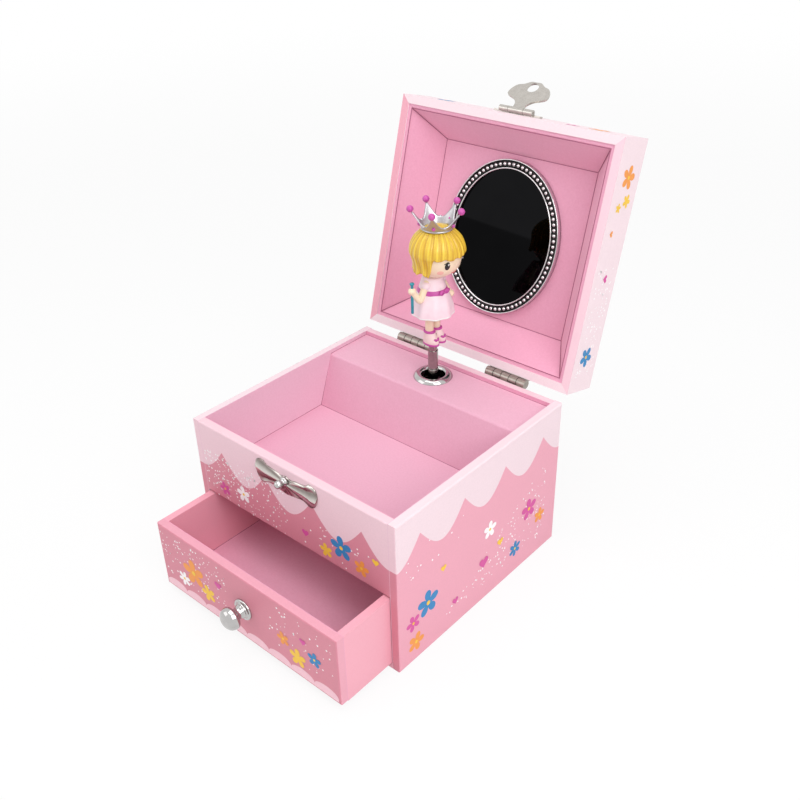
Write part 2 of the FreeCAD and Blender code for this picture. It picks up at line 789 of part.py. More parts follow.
# doll figure: drawn about its own axis with the soles at zero, facing along X
figure_place = vec(spindle_x, spindle_y, sole_z)


def save_figure(name, shape):
    save(name, placed(shape, figure_place))


def ball(r):
    return lathe((0, -r), [((r, -r), (r, 0)), ((r, r), (0, r))], limb_sides)


def limb(a, b, r1, r2):
    """Tapered limb with a round far end."""
    reach = b.sub(a)
    stem = lathe((0, 0), [(r1, 0), (r2, reach.Length), (0, reach.Length)], limb_sides)
    return [placed(stem, a, reach), placed(ball(r2), b, reach)]


def ellipse_ring(x, y, half_x, half_y, z):
    turn = [2 * math.pi * (k + 0.5) / boot_sides for k in range(boot_sides)]
    return [vec(x + half_x * math.cos(a), y + half_y * math.sin(a), z) for a in turn]


def shod_leg(sign):
    """One leg in its ankle boot, the toe rounded and longer than the heel."""
    y = sign * 0.46 * shoe_width
    half_l, half_w = shoe_length / 2, shoe_width / 2
    boot = skinned([
        ellipse_ring(0.1 * shoe_length, y, half_l, half_w, 0),
        ellipse_ring(0.1 * shoe_length, y, 0.98 * half_l, 0.98 * half_w, 0.32 * shoe_height),
        ellipse_ring(0.03 * shoe_length, y, 0.74 * half_l, 0.94 * half_w, 0.66 * shoe_height),
        ellipse_ring(0, y, 0.62 * half_l, 0.92 * half_w, shoe_height)])
    return [boot] + limb(vec(0, y, 0.5 * shoe_height), vec(0, y, hem_height), 1.02 * leg_radius,
                         leg_radius)[:1]


legs = fused(shod_leg(-1) + shod_leg(1))
save_figure("figure_legs", legs.cut(rod(post_rod_radius + running_clearance, vec(0, 0, 0), Z,
                                        rod_grip + running_clearance)))

dress_top = hem_height + dress_height


def dress_solid(gap):
    """Bell dress; gap swells it for cutting what lies on it."""
    r = hem_radius + gap
    h = dress_height
    return lathe_curve([(0.97 * r, hem_height), (r, hem_height + 0.1 * h),
                        (0.955 * r, hem_height + 0.27 * h),
                        (0.77 * r + gap, hem_height + 0.54 * h), (0.58 * r + gap, hem_height + 0.82 * h),
                        (0.46 * r + gap, dress_top)], 9)


save_figure("figure_dress", dress_solid(0))


shoulder_z = dress_top - 0.16 * dress_height
shoulder_y = 0.5 * hem_radius
elbow_z = hem_height + 0.48 * dress_height
hand_z = hem_height + 0.77 * dress_height
wand_at = vec(-0.17 * hem_radius, -1.27 * hem_radius, hand_z)
raised_arm = (limb(vec(0.5, -shoulder_y, shoulder_z), vec(0.3, -0.9 * hem_radius, elbow_z), arm_radius,
                   wrist_radius)
              + limb(vec(0.3, -0.9 * hem_radius, elbow_z), wand_at, arm_radius, wrist_radius)
              + [placed(ball(hand_radius), wand_at)])
low_hand = vec(0.2 * hem_radius, 1.08 * hem_radius, elbow_z - 0.12 * dress_height)
hanging_arm = (limb(vec(0.5, shoulder_y, shoulder_z), low_hand, arm_radius, wrist_radius)
               + [placed(ball(hand_radius), low_hand)])
wand_hole = rod(wand_radius + running_clearance, vec(wand_at.x, wand_at.y, 0), Z, 2 * hand_z)
arms = [fused(raised_arm).cut(wand_hole).cut(dress_solid(doll_gap)),
        fused(hanging_arm).cut(dress_solid(doll_gap))]
save_figure("figure_arms", Part.makeCompound([max(a.Solids, key=lambda s: s.Volume) for a in arms]))
save_figure("figure_wand", rod(wand_radius, vec(wand_at.x, wand_at.y, hand_z - 0.72 * wand_length), Z,
                               wand_length))

head_axis = vec(head_lead, 0, 0)
head_top = head_bottom + head_height


def head_solid(gap):
    """Round doll's head, a little wider than tall and fuller below; gap swells it for the hair's inside."""
    r = head_radius + gap
    low = head_bottom - gap
    h = head_height + 2 * gap
    return placed(lathe_curve([(0, low), (0.48 * r, low + 0.055 * h), (0.86 * r, low + 0.22 * h),
                               (r, low + 0.48 * h), (0.93 * r, low + 0.74 * h), (0.58 * r, low + 0.935 * h),
                               (0, low + h)], 12), head_axis)


neck_length = head_bottom - dress_top + 4.0
neck = lathe((0, 0), [(neck_radius, 0), (neck_radius, neck_length), (0, neck_length)])
neck.translate(vec(head_lead / 2, 0, dress_top))
save_figure("figure_head", fused([head_solid(0), neck]))

# hair: a shell over the head, open at the face under a fringe
hair_top = head_top + hair_thickness


def hair_cap(gap):
    r = head_radius + hair_thickness + gap
    h = hair_top - head_bottom
    low = head_bottom + 0.09 * h
    return placed(lathe_curve([(0.86 * r, low), (0.985 * r, low + 0.2 * h), (r, low + 0.42 * h),
                               (0.93 * r, low + 0.65 * h), (0.66 * r, low + 0.845 * h),
                               (0.3 * r, hair_top + gap), (0, hair_top + gap)], 11), head_axis)


def face_opening():
    reach = 2 * head_radius
    fan = [vec(0, 0, 0)] + [vec(reach * math.cos(math.radians(a)), reach * math.sin(math.radians(a)), 0)
                            for a in (-64, -30, 0, 30, 64)]
    wedge = plate(fan, vec(0, 0, fringe_height))
    wedge.translate(head_axis)
    return wedge


hair = hair_cap(0)
hair = hair.cut(head_solid(doll_gap)).cut(face_opening())
save_figure("figure_hair", max(hair.Solids, key=lambda s: s.Volume))


# crown: a flared band with points, each tipped with a bead
def crown_point(angle):
    root = vec(crown_radius + 0.5, 0, hair_top + crown_band - 0.9)
    tip = vec(crown_tip_radius, 0, hair_top + crown_height - 2 * crown_bead_radius)
    stem = tip.sub(root)
    spike = lathe((0, 0), [(1.5, 0), (0.6, stem.Length), (0, stem.Length)], limb_sides)
    pieces = [placed(spike, root, stem), placed(ball(crown_bead_radius), tip.add(stem.normalize()))]
    for piece in pieces:
        piece.rotate(vec(0, 0, 0), Z, angle)
    return pieces


band = lathe((crown_radius - crown_sheet, 0), [
    (crown_radius, 0), (crown_radius + 0.9, crown_band + 1.6),
    (crown_radius + 0.9 - crown_sheet, crown_band + 1.6)])
band.translate(vec(0, 0, hair_top - 1.6))
crown_pieces = [band]
for k in range(crown_points):
    crown_pieces += crown_point(-62 + 360 * k / crown_points)
crown = placed(fused(crown_pieces), head_axis).cut(hair_cap(doll_gap))
save_figure("figure_crown", max(crown.Solids, key=lambda s: s.Volume))

# movement: barrel with crown teeth that drive the spindle above it and the drum beside it
barrel_axis = vec(spindle_x, 0, movement_axis_z)


def crown_teeth():
    """Straight teeth standing on the barrel's front, a gap at the top and at each side."""
    pitch = 2 * math.pi * crown_wheel_radius / crown_wheel_teeth
    half = tooth_share * pitch / 2
    teeth = []
    inner = crown_wheel_radius - pinion_width / 2 - 0.2
    length = pinion_width + 0.4
    profile = [(-half - 0.36 * tooth_dedendum, 0), (half + 0.36 * tooth_dedendum, 0),
               (half - 0.36 * tooth_addendum, tooth_dedendum + tooth_addendum),
               (-half + 0.36 * tooth_addendum, tooth_dedendum + tooth_addendum)]
    for k in range(crown_wheel_teeth):
        tooth = plate([vec(inner, t, h - 0.01) for t, h in profile], vec(length, 0, 0))
        tooth.rotate(vec(0, 0, 0), Z, 360 * (k + 0.5) / crown_wheel_teeth)
        teeth.append(tooth)
    return teeth


barrel_depth = barrel_back - barrel_front
barrel_cup = lathe((arbor_pivot_radius + running_clearance, 0), [
    (arbor_pivot_radius + running_clearance, -barrel_wall), (barrel_radius - barrel_wall, -barrel_wall),
    (barrel_radius - barrel_wall, -barrel_depth), (barrel_radius, -barrel_depth), (barrel_radius, 0)])
spring_barrel = fused([barrel_cup] + crown_teeth())
save("spring_barrel", placed(spring_barrel, vec(spindle_x, barrel_front, movement_axis_z), -Y))


def spiral_strip():
    """Outline of the wound strip between the arbor and the barrel's wall, in half turns about two centres."""
    inner = arbor_radius + 0.5
    outer = barrel_radius - barrel_wall - 0.5 - mainspring_strip
    step = (outer - inner) / (2 * mainspring_turns)
    sides = turn_sides // 2
    inside, outside = [], []
    for k in range(2 * mainspring_turns):
        sign = 1 if k % 2 == 0 else -1
        radius = inner + (k + 0.5) * step
        centre = -sign * step / 2
        for n in range(sides):
            angle = math.pi * n / sides
            turn = vec(sign * math.cos(angle), sign * math.sin(angle), 0)
            inside.append(vec(centre, 0, 0).add(turn * radius))
            outside.append(vec(centre, 0, 0).add(turn * (radius + mainspring_strip)))
    return inside + outside[::-1]


spring_width = barrel_depth - barrel_wall - 2 * barrel_clearance
mainspring = plate(spiral_strip(), vec(0, 0, -spring_width))
save("mainspring", placed(mainspring, vec(spindle_x, barrel_front + barrel_wall + barrel_clearance,
                                          movement_axis_z), -Y))

arbor_start = barrel_front - 0.4
key_seat = back_face + key_gap
key_grip = key_stem_length - 1.0
arbor_shoulder = barrel_front + barrel_wall + running_clearance
winding_arbor = fused([
    rod(arbor_pivot_radius, vec(spindle_x, arbor_start, movement_axis_z), Y, arbor_shoulder - arbor_start),
    rod(arbor_radius, vec(spindle_x, arbor_shoulder, movement_axis_z), Y, key_seat - arbor_shoulder),
    rod(0.8 * arbor_radius, vec(spindle_x, key_seat, movement_axis_z), Y, key_grip)])
save("winding_arbor", winding_arbor)


def butterfly_key():
    """Flat key with two pierced wings on a turned stem, its axis along Y."""
    stem = lathe((0, 0), [(0.92 * key_stem_radius, 0), (key_stem_radius, 0.1 * key_stem_length),
                          (0.8 * key_stem_radius, 0.55 * key_stem_length),
                          (0.9 * key_stem_radius, key_stem_length), (0, key_stem_length)])
    wing_y = key_stem_length + 0.55 * key_wing_radius
    pieces = [stem]
    holes = []
    for sign in (-1, 1):
        at = vec(sign * key_wing_spread, -key_sheet / 2, wing_y)
        pieces.append(rod(key_wing_radius, at, Y, key_sheet))
        holes.append(rod(0.45 * key_wing_radius, at, Y, key_sheet))
    pieces.append(block(-key_wing_spread, key_wing_spread, -key_sheet / 2, key_sheet / 2,
                        key_stem_length - 0.6, wing_y + 0.1 * key_wing_radius))
    key = cut_all(fused(pieces), holes)
    return key.cut(rod(0.8 * arbor_radius + running_clearance, vec(0, 0, 0), Z,
                       key_grip + running_clearance))


save("winding_key", placed(butterfly_key(), vec(spindle_x, key_seat, movement_axis_z), Y))

# drum: pinion, pinned cylinder and wheel on one arbor, its axis along X
drum_lug_start = spindle_x + barrel_radius + 0.5
drum_start = drum_lug_start + lug_thickness + 0.5
drum_length = drum_tracks * drum_track_pitch
drum_end = drum_start + drum_length
wheel_start = drum_end + 0.4
wheel_end = wheel_start + wheel_width
end_lug_start = wheel_end + 0.6
end_lug_end = end_lug_start + lug_thickness
drum_pinion_x = spindle_x + crown_wheel_radius
module = 2 * pinion_radius / pinion_teeth
drum_wheel_radius = module * drum_wheel_teeth / 2
governor_radius = module * governor_pinion_teeth / 2
governor_z = movement_axis_z + drum_wheel_radius + governor_radius


def along_x(shape, x, z):
    """Piece drawn about Z, laid along X with its Y side kept, so its own X points down."""
    copy = shape.copy()
    copy.Placement = FreeCAD.Placement(vec(x, spindle_y, z), FreeCAD.Rotation(Y, 90))
    return copy


def drum_pins():
    pins = []
    for track in range(drum_tracks):
        for n in range(drum_pins_per_track):
            angle = math.radians(360.0 * ((track * 7 + n * 29) % 83) / 83)
            x = drum_start + (track + 0.5) * drum_track_pitch
            pin = block(x - drum_pin_half, x + drum_pin_half, -drum_pin_half, drum_pin_half,
                        drum_radius - 0.3, drum_radius + drum_pin_height)
            pin.rotate(vec(0, 0, 0), X, math.degrees(angle))
            pin.translate(vec(0, spindle_y, movement_axis_z))
            pins.append(pin)
    return pins


drum_arbor_start = drum_pinion_x - pinion_width
drum_pieces = [
    rod(drum_arbor_radius, vec(drum_arbor_start, spindle_y, movement_axis_z), X,
        end_lug_end - drum_arbor_start),
    rod(drum_radius, vec(drum_start, spindle_y, movement_axis_z), X, drum_length),
    along_x(toothed_disc(pinion_teeth, pinion_radius, pinion_width, 90), drum_pinion_x - pinion_width / 2,
            movement_axis_z),
    along_x(toothed_disc(drum_wheel_teeth, drum_wheel_radius, wheel_width, 180 + 180.0 / drum_wheel_teeth),
            wheel_start, movement_axis_z)]
save("pin_drum", fused(drum_pieces + drum_pins()))

# governor: a pinion driven by the drum's wheel spins a two-winged fan
fan_start = end_lug_end + 1.6
bracket_start = end_lug_end + governor_span
governor = [
    rod(governor_shaft_radius, vec(wheel_start - 0.3, spindle_y, governor_z), X,
        bracket_start + lug_thickness - wheel_start + 0.3),
    along_x(toothed_disc(governor_pinion_teeth, governor_radius, wheel_width, 0), wheel_start, governor_z),
    rod(2 * governor_shaft_radius, vec(fan_start, spindle_y, governor_z), X, governor_fan_length),
    block(fan_start, fan_start + governor_fan_length, spindle_y - governor_fan_radius,
          spindle_y + governor_fan_radius,
          governor_z - 0.3, governor_z + 0.3)]
save("governor_fan", fused(governor))

# comb: tuned teeth that reach for the drum's pins, the bass teeth longest
comb_front = spindle_y - comb_sheet / 2
comb_tip = movement_axis_z - drum_radius - drum_pin_height - comb_tip_gap
comb_root_low = comb_tip - comb_long_tooth
comb_heel_low = comb_root_low - comb_heel_height


def comb_solid():
    ring = [vec(drum_start, comb_front, comb_heel_low)]
    for k in range(drum_tracks):
        left = drum_start + k * drum_track_pitch + comb_slot / 2
        right = left + drum_track_pitch - comb_slot
        share = k / (drum_tracks - 1)
        root = comb_tip - comb_long_tooth + share * (comb_long_tooth - comb_short_tooth)
        ring += [vec(left, comb_front, root), vec(left, comb_front, comb_tip),
                 vec(right, comb_front, comb_tip),
                 vec(right, comb_front, root)]
    ring[1].x = drum_start
    ring[2].x = drum_start
    ring[-1].x = drum_end
    ring[-2].x = drum_end
    ring.append(vec(drum_end, comb_front, comb_heel_low))
    heel = block(drum_start, drum_end, comb_front, comb_front + comb_heel_depth, comb_heel_low,
                 comb_root_low - 1.0)
    return fused([plate(ring, vec(0, comb_sheet, 0)), heel])


comb_screw_z = comb_heel_low + comb_heel_height / 2 - 0.5
comb_screw_places = [vec(x, comb_front, comb_screw_z) for x in (drum_start + 3.0, drum_end - 3.0)]
comb_screw_length = comb_heel_depth + 3.0
comb = cut_all(comb_solid(), [rod(screw_shank_radius + running_clearance, p, Y,
                                  comb_heel_depth) for p in comb_screw_places])
save("comb", comb)

# bracket for the governor's outer end, screwed to the bedplate by its foot
bracket_bore = rod(governor_shaft_radius + running_clearance, vec(bracket_start, spindle_y, governor_z), X,
                   lug_thickness)
foot_width = 6.0
foot_end = bracket_start + lug_thickness + foot_width
bracket = fused([
    block(bracket_start, bracket_start + lug_thickness, spindle_y, bedplate_face, governor_z - lug_radius,
          governor_z + lug_radius),
    rod(lug_radius, vec(bracket_start, spindle_y, governor_z), X, lug_thickness),
    block(bracket_start, foot_end, bedplate_face - lug_thickness, bedplate_face, governor_z - lug_radius,
          governor_z + lug_radius)])
bracket_screw_place = vec(foot_end - foot_width / 2, bedplate_face - lug_thickness, governor_z)
bracket_screw_length = lug_thickness + 1.4
bracket_screw_hole = rod(screw_shank_radius + running_clearance, bracket_screw_place, Y, lug_thickness)
save("governor_bracket", cut_all(bracket, [bracket_bore, bracket_screw_hole]))


bedplate_screw_set = [(p, comb_screw_length) for p in comb_screw_places]
bedplate_screw_set.append((bracket_screw_place, bracket_screw_length))
save("bedplate_screws", Part.makeCompound(
    [small_screw(p, Y, length, screw_shank_radius, screw_head_radius, screw_head_rise)
     for p, length in bedplate_screw_set]))


# bedplate: one casting with the plate, the drum's lugs, the comb's ledge and the spindle's arm
def lug(x0, z):
    return [block(x0, x0 + lug_thickness, spindle_y, bedplate_face, z - lug_radius, z + lug_radius),
            rod(lug_radius, vec(x0, spindle_y, z), X, lug_thickness)]


def bedplate_solid():
    left, right = spindle_x - bedplate_left, spindle_x + bedplate_right
    base = block(left, right, bedplate_face, back_inside, bedplate_low, bedplate_high)
    base = soften(base, 3.0, lambda p, e: abs(e.tangentAt(0).y) > 0.9)
    pieces = [base] + lug(drum_lug_start, movement_axis_z) + lug(end_lug_start, movement_axis_z)
    pieces += lug(end_lug_start, governor_z)
    pieces.append(block(end_lug_start, end_lug_end, spindle_y, bedplate_face, movement_axis_z, governor_z))
    pieces.append(block(drum_start, drum_end, comb_front + comb_heel_depth, bedplate_face,
                        comb_heel_low, comb_root_low - 1.0))
    pieces.append(block(spindle_x - spindle_arm_radius, spindle_x + spindle_arm_radius, spindle_y,
                        bedplate_face,
                        arm_low, arm_high))
    pieces.append(rod(spindle_arm_radius, vec(spindle_x, spindle_y, arm_low), Z, spindle_arm_thickness))
    bores = [
        rod(drum_arbor_radius + running_clearance, vec(drum_lug_start, spindle_y, movement_axis_z), X,
            end_lug_end - drum_lug_start),
        rod(governor_shaft_radius + running_clearance, vec(end_lug_start, spindle_y, governor_z), X,
            lug_thickness),
        rod(post_radius + running_clearance, vec(spindle_x, spindle_y, arm_low), Z, spindle_arm_thickness),
        rod(arbor_radius + running_clearance, vec(spindle_x, bedplate_face, movement_axis_z), Y,
            bedplate_thickness)]
    for p in comb_screw_places:
        bores.append(rod(screw_shank_radius + running_clearance, p, Y,
                         comb_screw_length + running_clearance))
    bores.append(rod(screw_shank_radius + running_clearance, bracket_screw_place, Y,
                     bracket_screw_length + running_clearance))
    for x, z in movement_screw_places:
        bores.append(rod(movement_screw_radius + running_clearance, vec(x, bedplate_face, z), Y,
                         bedplate_thickness))
    return cut_all(fused(pieces), bores)


save("bedplate", bedplate_solid())


save("movement_screws", Part.makeCompound([
    small_screw(vec(x, back_face, z), -Y, movement_screw_length, movement_screw_radius, movement_screw_head,
                movement_screw_rise)
    for x, z in movement_screw_places]))
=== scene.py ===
"""Looks of the musical jewellery box: printed paper, flocked lining, chrome fittings and the painted doll.

Every length in this file is written in millimetres and turned to metres where a mesh is made.
"""
import bpy
import bmesh
from math import atan2, cos, degrees, pi, radians, sin, tanh
from mathutils import Matrix, Vector


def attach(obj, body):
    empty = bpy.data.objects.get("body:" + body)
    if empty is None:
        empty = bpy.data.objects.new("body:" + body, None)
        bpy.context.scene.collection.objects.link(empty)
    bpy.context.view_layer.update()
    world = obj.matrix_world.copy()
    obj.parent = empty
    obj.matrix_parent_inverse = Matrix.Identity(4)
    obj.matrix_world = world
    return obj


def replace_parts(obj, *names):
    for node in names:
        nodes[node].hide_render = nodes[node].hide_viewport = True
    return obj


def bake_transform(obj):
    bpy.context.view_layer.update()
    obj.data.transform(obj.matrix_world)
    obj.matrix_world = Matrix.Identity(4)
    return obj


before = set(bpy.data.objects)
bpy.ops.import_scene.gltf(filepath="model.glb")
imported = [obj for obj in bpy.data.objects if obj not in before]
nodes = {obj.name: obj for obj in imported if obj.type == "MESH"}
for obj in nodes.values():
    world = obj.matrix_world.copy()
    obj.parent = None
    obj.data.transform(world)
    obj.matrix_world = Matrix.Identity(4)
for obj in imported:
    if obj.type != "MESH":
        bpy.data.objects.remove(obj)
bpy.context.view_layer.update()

MM = 0.001
scene = bpy.context.scene

# sizes shared with the solids
HALF_WIDTH, HALF_DEPTH, HEIGHT, WALL = 60.0, 56.5, 77.0, 4.0
LID_RIM, LID_TOP = 77.5, 98.5
HINGE_X, HINGE_Y, HINGE_Z = 27.5, 59.0, 77.25
HINGE_LENGTH, KNUCKLES, LID_OPEN = 22.0, 5, 105.5
DRAWER_FACE, KNOB_Z = -86.5, 21.3
DRAWER_X, DRAWER_FRONT, DRAWER_BACK, DRAWER_FLOOR, DRAWER_RIM = 52.1, -82.5, -20.0, 8.5, 38.0
TRAY_FLOOR, PLATFORM_FOOT, PLATFORM_BROW, PLATFORM_TOP = 49.5, 17.4, 26.7, 75.0
CATCH_Z, CATCH_DROP = 71.1, 1.7
LINING_X, LINING_Y, LINING_Z, CEILING_X, CEILING_Y, CEILING_Z = 54.05, 50.55, 78.15, 42.2, 38.7, 94.3
MIRROR_X, MIRROR_Y = 31.5, 36.6
SPINDLE = (-2.5, 41.5)
FOLD_Z = 79.5
SOLE = 93.4
HEAD_LEAD = 2.8


def opened(p):
    """Point of the shut lid, in millimetres, where the open lid has it."""
    a = radians(-LID_OPEN)
    y, z = p[1] - HINGE_Y, p[2] - HINGE_Z
    return (p[0], HINGE_Y + y * cos(a) - z * sin(a), HINGE_Z + y * sin(a) + z * cos(a))


def doll(p):
    """Point in the doll's own frame, soles at zero and facing X, where the doll stands."""
    return (p[0] + SPINDLE[0], p[1] + SPINDLE[1], p[2] + SOLE)


def doll_at(x, y, z):
    """Placing of a piece that is drawn about its own middle, at a point in the doll's frame."""
    return lambda p: doll((p[0] + x, p[1] + y, p[2] + z))


def turns(count):
    """Evenly spaced angles of one full turn."""
    return [2 * pi * k / count for k in range(count)]


# nodes and materials
def hex_colour(text):
    """Linear colour of an sRGB hex value."""
    parts = [int(text[k:k + 2], 16) / 255 for k in (1, 3, 5)]
    return tuple(c / 12.92 if c <= 0.04045 else ((c + 0.055) / 1.055) ** 2.4 for c in parts) + (1.0,)


def add(tree, kind, inputs=None, **settings):
    """Adds a node with its settings; an input is a value, or the socket that is linked to it."""
    new = tree.nodes.new(kind)
    for name, value in settings.items():
        setattr(new, name, value)
    for key, value in (inputs or {}).items():
        if isinstance(value, bpy.types.NodeSocket):
            tree.links.new(value, new.inputs[key])
        else:
            new.inputs[key].default_value = value
    return new


def maths(tree, operation, *values):
    """Result of a math node on values or sockets."""
    return add(tree, "ShaderNodeMath", dict(enumerate(values)), operation=operation).outputs[0]


def blend_colours(tree, share, first, second, blend="MIX"):
    """Blend of two colours, each a hex value or a socket; the node keeps its colours on sockets 6 and 7."""
    pair = {6: first, 7: second}
    for key, value in pair.items():
        if not isinstance(value, bpy.types.NodeSocket):
            pair[key] = hex_colour(value)
    return add(tree, "ShaderNodeMix", {0: share, **pair}, data_type="RGBA", blend_type=blend).outputs[2]


def place_of(tree):
    return add(tree, "ShaderNodeTexCoord").outputs["Object"]


def noise(tree, size):
    """Noise with features about this many millimetres wide."""
    inputs = {"Vector": place_of(tree), "Scale": 1000.0 / size, "Detail": 3.0}
    return add(tree, "ShaderNodeTexNoise", inputs).outputs["Fac"]


def start_material(name):
    material = bpy.data.materials.new(name)
    material.use_nodes = True
    material.node_tree.nodes.clear()
    return material, material.node_tree


def end_material(tree, inputs):
    shader = add(tree, "ShaderNodeBsdfPrincipled", inputs)
    add(tree, "ShaderNodeOutputMaterial", {"Surface": shader.outputs["BSDF"]})


def surface_grain(tree, grain_mm, height_mm, strength):
    """Noise of a grain size, and the bump it makes: the noise socket and the normal socket."""
    grain = noise(tree, grain_mm)
    bump = add(tree, "ShaderNodeBump", {"Height": grain, "Strength": strength, "Distance": height_mm * MM})
    return grain, bump.outputs["Normal"]


RELIEF_SHARE, GRAIN_SHARE = 0.8, 0.25
PAPER_ROUGH, NAP_ROUGH = 0.46, 0.91


def finish(name, dark, light, grain_mm, height_mm, strength, roughness, inputs=None, relief=None):
    """Finish whose colour and bump wander with its grain; a relief kept on the mesh is darker in its furrows
    and lighter on its ridges, painted shade and light.
    """
    material, tree = start_material(name)
    tone, normal = surface_grain(tree, grain_mm, height_mm, strength)
    if relief:
        height = add(tree, "ShaderNodeAttribute", attribute_name=relief).outputs["Fac"]
        tone = maths(tree, "MULTIPLY_ADD", tone, GRAIN_SHARE, maths(tree, "MULTIPLY", height, RELIEF_SHARE))
    colour = blend_colours(tree, tone, dark, light)
    end_material(tree, {"Base Color": colour, "Normal": normal, "Roughness": roughness, **(inputs or {})})
    return material


FLOCK_PINKS = ("#e39fb8", "#efb1c9")
PAPER_PINK, PAPER_PALE, DRAWER_EDGE = "#dd8c9d", "#f4d0da", "#eca8b9"


# flocked paper: short nap over board, dull and a little mottled, with a soft sheen at the edges
def flocked(name, dark, light):
    nap = {"Sheen Weight": 0.2, "Sheen Roughness": 0.5, "Specular IOR Level": 0.2}
    return finish(name, dark, light, 0.9, 0.12, 0.35, 0.92, nap)


flock = flocked("flocked_lining_paper", *FLOCK_PINKS)
flock_tray = flocked("flocked_lining_paper_tray", "#dea6bb", "#eab8cc")
flock_deep = flocked("flocked_lining_paper_drawer", "#eaa6be", "#f3b7cd")
# the fold of the lining paper, where the nap is cut; the dark colour along it is painted shade
crease_shade_pink = finish("lining_crease_painted_shade", "#a35d78", "#bb7590", 0.6, 0.02, 0.2, 0.95)
# greyboard: the bare pressed fibre under the paper
greyboard = finish("bare_greyboard", "#a89a86", "#c2b5a0", 1.6, 0.06, 0.3, 0.9)

METAL = {"Metallic": 1.0}
# chromed steel: hard bright reflections, faintly uneven from polishing
chrome = finish("polished_chrome_plate", "#b1afae", "#c9c7c6", 3.0, 0.01, 0.08, 0.07, METAL)
# a lighter copy of the chrome, for the mirror's frame
chrome_bright = finish("lighter_chrome_plate", "#cbcaca", "#dedddd", 3.0, 0.01, 0.08, 0.1, METAL)
# drawn steel tube of the post, a darker copy of the chrome: painted dark reflection
chrome_dark = finish("post_chrome_painted_dark_reflection", "#8e8885", "#aca6a2", 1.6, 0.01, 0.1, 0.12, METAL)
# nickel-plated pressed sheet: bright, softer than chrome, with the ripple of the press
nickel = finish("pressed_nickel_sheet", "#b3aea8", "#cfcac3", 2.2, 0.03, 0.2, 0.2, METAL)
# the same sheet where it is pressed deep, with painted shade in its furrows and painted highlights on its
# ridges
nickel_relief_shaded = finish("nickel_relief_painted_shade", "#7d726d", "#dad5cf", 2.2, 0.03, 0.2, 0.18, METAL, "crest")
# plain bright steel of hinges and screws, drawn and tumbled
steel = finish("tumbled_steel", "#8b827b", "#b5aca4", 0.8, 0.02, 0.2, 0.28, METAL)
# turned brass of the movement's wheels
brass = finish("turned_brass", "#b08a45", "#cba55c", 0.6, 0.01, 0.15, 0.3, METAL)
# zinc casting of the bedplate, grey and finely grained
zinc = finish("cast_zinc", "#8a8c8e", "#a3a5a6", 0.7, 0.04, 0.4, 0.5, METAL)
# moulded nylon of the fan
nylon = finish("moulded_nylon", "#dcdad2", "#eceae4", 1.2, 0.01, 0.1, 0.5)
# mirror glass, deep and clear, painted almost black: a painted reflection of a dark room
mirror = finish("mirror_painted_dark_reflection", "#0d0d0e", "#121213", 20.0, 0.001, 0.02, 0.03, METAL)
# near-black metal in the mirror frame's channel and in the hinges' knuckle gaps: painted shade in both
shade_black = finish("painted_shade_black", "#1c1b1c", "#2c2a2b", 0.8, 0.02, 0.2, 0.45, {"Metallic": 0.6})


# paint on the cast doll: even satin coats with a slight brush wander
def satin(name, dark, light, grain_mm, height_mm, strength):
    return finish(name, dark, light, grain_mm, height_mm, strength, 0.42,
                  {"Coat Weight": 0.15, "Coat Roughness": 0.3})


skin = satin("painted_resin_cream", "#f3ddbb", "#f9e8cc", 4.0, 0.02, 0.1)
# gold hair: darker in the furrows between its combed strands, painted shade
hair_gold = finish("painted_resin_gold", "#c48c10", "#f7d845", 0.7, 0.05, 0.4, 0.34,
                   {"Coat Weight": 0.3, "Coat Roughness": 0.2}, "strand")
dress_pink = satin("painted_resin_pale_pink", "#f6d8e2", "#fbe8ee", 3.0, 0.03, 0.15)
magenta = satin("painted_resin_magenta", "#b83f96", "#d05cae", 2.0, 0.02, 0.12)
shoe_cream = satin("painted_resin_cream_pink", "#f4d6d4", "#fae6e2", 2.0, 0.02, 0.12)
silver_paint = finish("silver_painted_resin", "#a9a7aa", "#c9c7ca", 0.9, 0.03, 0.3, 0.34,
                      {"Metallic": 0.85})
teal = satin("painted_resin_teal", "#157f92", "#2596a8", 2.0, 0.02, 0.12)
enamel_black = finish("black_enamel_paint", "#120f10", "#1d1819", 1.0, 0.005, 0.05, 0.22)
lip_pink = finish("painted_lip_pink", "#cf5f66", "#dc7478", 1.0, 0.005, 0.05, 0.4)
cheek_pink = satin("painted_cheek_pink", "#f3b8a6", "#f7c3b2", 2.0, 0.005, 0.05)
white_paint = finish("white_enamel_paint", "#f4f2f0", "#fbfaf8", 1.0, 0.005, 0.05, 0.25)

# printing inks on the paper: flat colours with the slight tooth of the sheet
INKS = {name: finish("print_ink_" + name, dark, light, 0.8, 0.01, 0.1, 0.5) for name, dark, light in (
    ("white", "#fdf6f8", "#fffafc"), ("blue", "#1878b4", "#2a8cc6"), ("magenta", "#cf3f93", "#dd5aa6"),
    ("orange", "#ee9038", "#f5a24c"), ("yellow", "#f2bf2e", "#f9d04a"), ("leaf", "#4fa39a", "#66b5ab"),
    ("pale_pink", "#f6c3d0", "#fad0da"), ("edge_pink", "#e8a4b5", "#ecabbb"),
    ("edge_pale", "#efc8d4", "#f3d0da"))}


